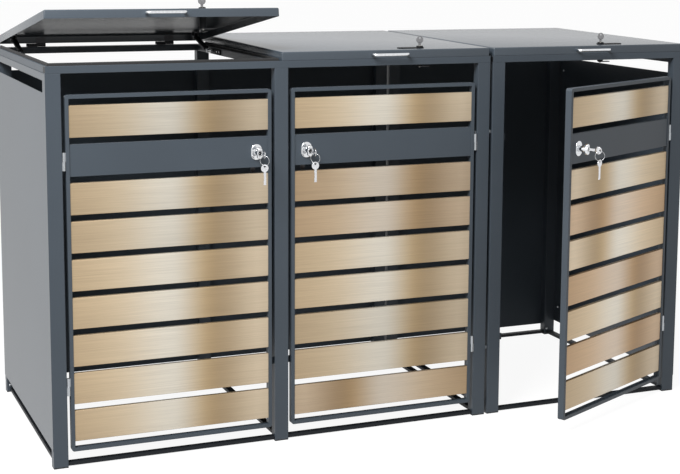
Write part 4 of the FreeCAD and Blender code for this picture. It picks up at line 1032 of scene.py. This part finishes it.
def cross_pin():
    """The pin through a cylinder's eye, its ends broken."""
    half = PIN_LENGTH / 2
    return moved(lathe([(0, -half), (PIN_RADIUS - PIN_EDGE, -half), (PIN_RADIUS, PIN_EDGE - half),
                        (PIN_RADIUS, half - PIN_EDGE), (PIN_RADIUS - PIN_EDGE, half), (0, half)], steps=20),
                 SIDEWAYS)


def base_plate():
    """A plate square to X with round corners, the stud's place on its back at the origin."""
    shape = bmesh.new()
    bmesh.ops.create_cube(shape, size=1.0)
    bmesh.ops.scale(shape, vec=(BASE_THICKNESS, BASE_LENGTH, BASE_HEIGHT), verts=shape.verts)
    bmesh.ops.translate(shape, vec=(BASE_THICKNESS / 2, BASE_LEAD - BASE_LENGTH / 2, 0), verts=shape.verts)
    across = [edge for edge in shape.edges if abs(edge.verts[0].co.x - edge.verts[1].co.x) > MM]
    round_off(shape, across, BASE_CORNER, 4)
    front = [edge for edge in shape.edges if min(vert.co.x for vert in edge.verts) > BASE_THICKNESS / 2]
    round_off(shape, front, BASE_EDGE, 2)
    return shape


def stud():
    """The stud that carries the rod's eye, with its flat head, along X from the back of the plate."""
    reach = STAY_INSET + EYE_WIDTH / 2 + STUD_PLAY
    head = [(STUD_RADIUS + out * MM, reach + up * MM) for out, up in STUD_HEAD]
    return moved(lathe([(0, 0), (STUD_RADIUS, 0)] + head + [(0, head[-1][1])], steps=24), SIDEWAYS)


def screw():
    """A pan head with a recess, its seat at the origin, pointing along X."""
    return moved(lathe([(radius * MM, height * MM) for radius, height in PAN_HEAD], steps=24), SIDEWAYS)


plates, studs, screws = [], [], []
for bay in BAYS:
    foot = Vector(joint_of("stay_rods_%s_turn" % bay)["pos_m"])
    lid_open = opened("lid_%s_hinge" % bay)
    direction = Matrix.Rotation(math.radians(STAY_DIRECTION + STAY_TURNING * lid_open), 4, "X") @ ALONG_Y
    length = STAY_LENGTH + STAY_GROWTH * lid_open
    low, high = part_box("stay_rods_" + bay)
    rods, cylinders, pins = [], [], []
    for across in (low[0] + EYE_WIDTH / 2, high[0] - EYE_WIDTH / 2):
        line = Matrix.Translation((across, foot.y, foot.z)) @ direction
        head = line @ Matrix.Translation((0, 0, length))
        rod = lathe([(0, STAY_EYE - MM), (STAY_ROD, STAY_EYE - MM), (STAY_ROD, ROD_LENGTH), (0, ROD_LENGTH)])
        rods += [moved(rod, line), moved(stay_eye(STUD_RADIUS), line)]
        cylinders += [moved(stay_cylinder(), head), moved(stay_eye(PIN_RADIUS), head)]
        pins.append(moved(cross_pin(), head))
    body = "stay_rods_" + bay
    make_piece("stay_rod_pair_" + bay, together(*rods), chrome, body, body)
    body = "stay_cylinders_" + bay
    make_piece("stay_cylinder_pair_" + bay, together(*cylinders), black_coat, body, body)
    make_piece("stay_pin_pair_" + bay, together(*pins), zinc_plate, body, body)
    inset = STAY_INSET - EYE_WIDTH / 2
    for face, turn in ((low[0] - inset, Matrix()), (high[0] + inset, Matrix.Scale(-1, 4, (1, 0, 0)))):
        place = Matrix.Translation((face, foot.y, foot.z)) @ turn
        plates.append(moved(base_plate(), place))
        studs.append(moved(stud(), place))
        for back in (BASE_LENGTH - BASE_HEIGHT / 2, BASE_LENGTH - 2 * BASE_HEIGHT):
            screws.append(moved(screw(), place @ Matrix.Translation((BASE_THICKNESS, BASE_LEAD - back, 0))))
for name, shapes, material, slot in (("stay_plates", plates, black_coat, "black_coat"),
                                     ("stay_studs", studs, zinc_plate, "zinc"),
                                     ("stay_screws", screws, chrome, "chrome")):
    group = together(*shapes)
    bmesh.ops.recalc_face_normals(group, faces=group.faces)
    make_piece(name, group, material, "frame", "stay_bases")

# Lid seals. A soft black rubber section stuck on the rails under the front and the sides of each lid, with
# its upper edges round, so that a shut lid rests on it.
SEAL_ROUND = 2.4 * MM
RUBBER = paint(28, 28, 29)
RUBBER_BLOOM = 60.0
RUBBER_TONES = (0.85, 1.2)
RUBBER_DEPTH = 0.1 * MM


def rubber_material():
    """Blunt black rubber with a faint bloom."""
    material, tree, skin = new_material("black rubber")
    place = tree.nodes.new("ShaderNodeTexCoord").outputs["Object"]
    bloom = add(tree, "ShaderNodeTexNoise", Vector=place, Scale=RUBBER_BLOOM, Detail=4.0, Roughness=0.7)
    bump = add(tree, "ShaderNodeBump", Strength=0.2, Distance=RUBBER_DEPTH, Height=bloom.outputs["Fac"])
    tree.links.new(scaled_colour(tree, RUBBER, spread(tree, bloom, *RUBBER_TONES)), skin.inputs["Base Color"])
    tree.links.new(bump.outputs["Normal"], skin.inputs["Normal"])
    skin.inputs["Roughness"].default_value = 0.75
    return material


seals = bmesh.new()
seals.from_mesh(frame["nodes"]["lid_seals"].data)
bmesh.ops.remove_doubles(seals, verts=seals.verts, dist=0.01 * MM)
bmesh.ops.dissolve_limit(seals, angle_limit=math.radians(1), verts=list(seals.verts), edges=list(seals.edges))
seal_top = max(vert.co.z for vert in seals.verts)
upper = [edge for edge in seals.edges if min(vert.co.z for vert in edge.verts) > seal_top - MM]
round_off(seals, upper, SEAL_ROUND, 4)
make_piece("lid_seal_strips", seals, rubber_material(), "frame", "lid_seals")
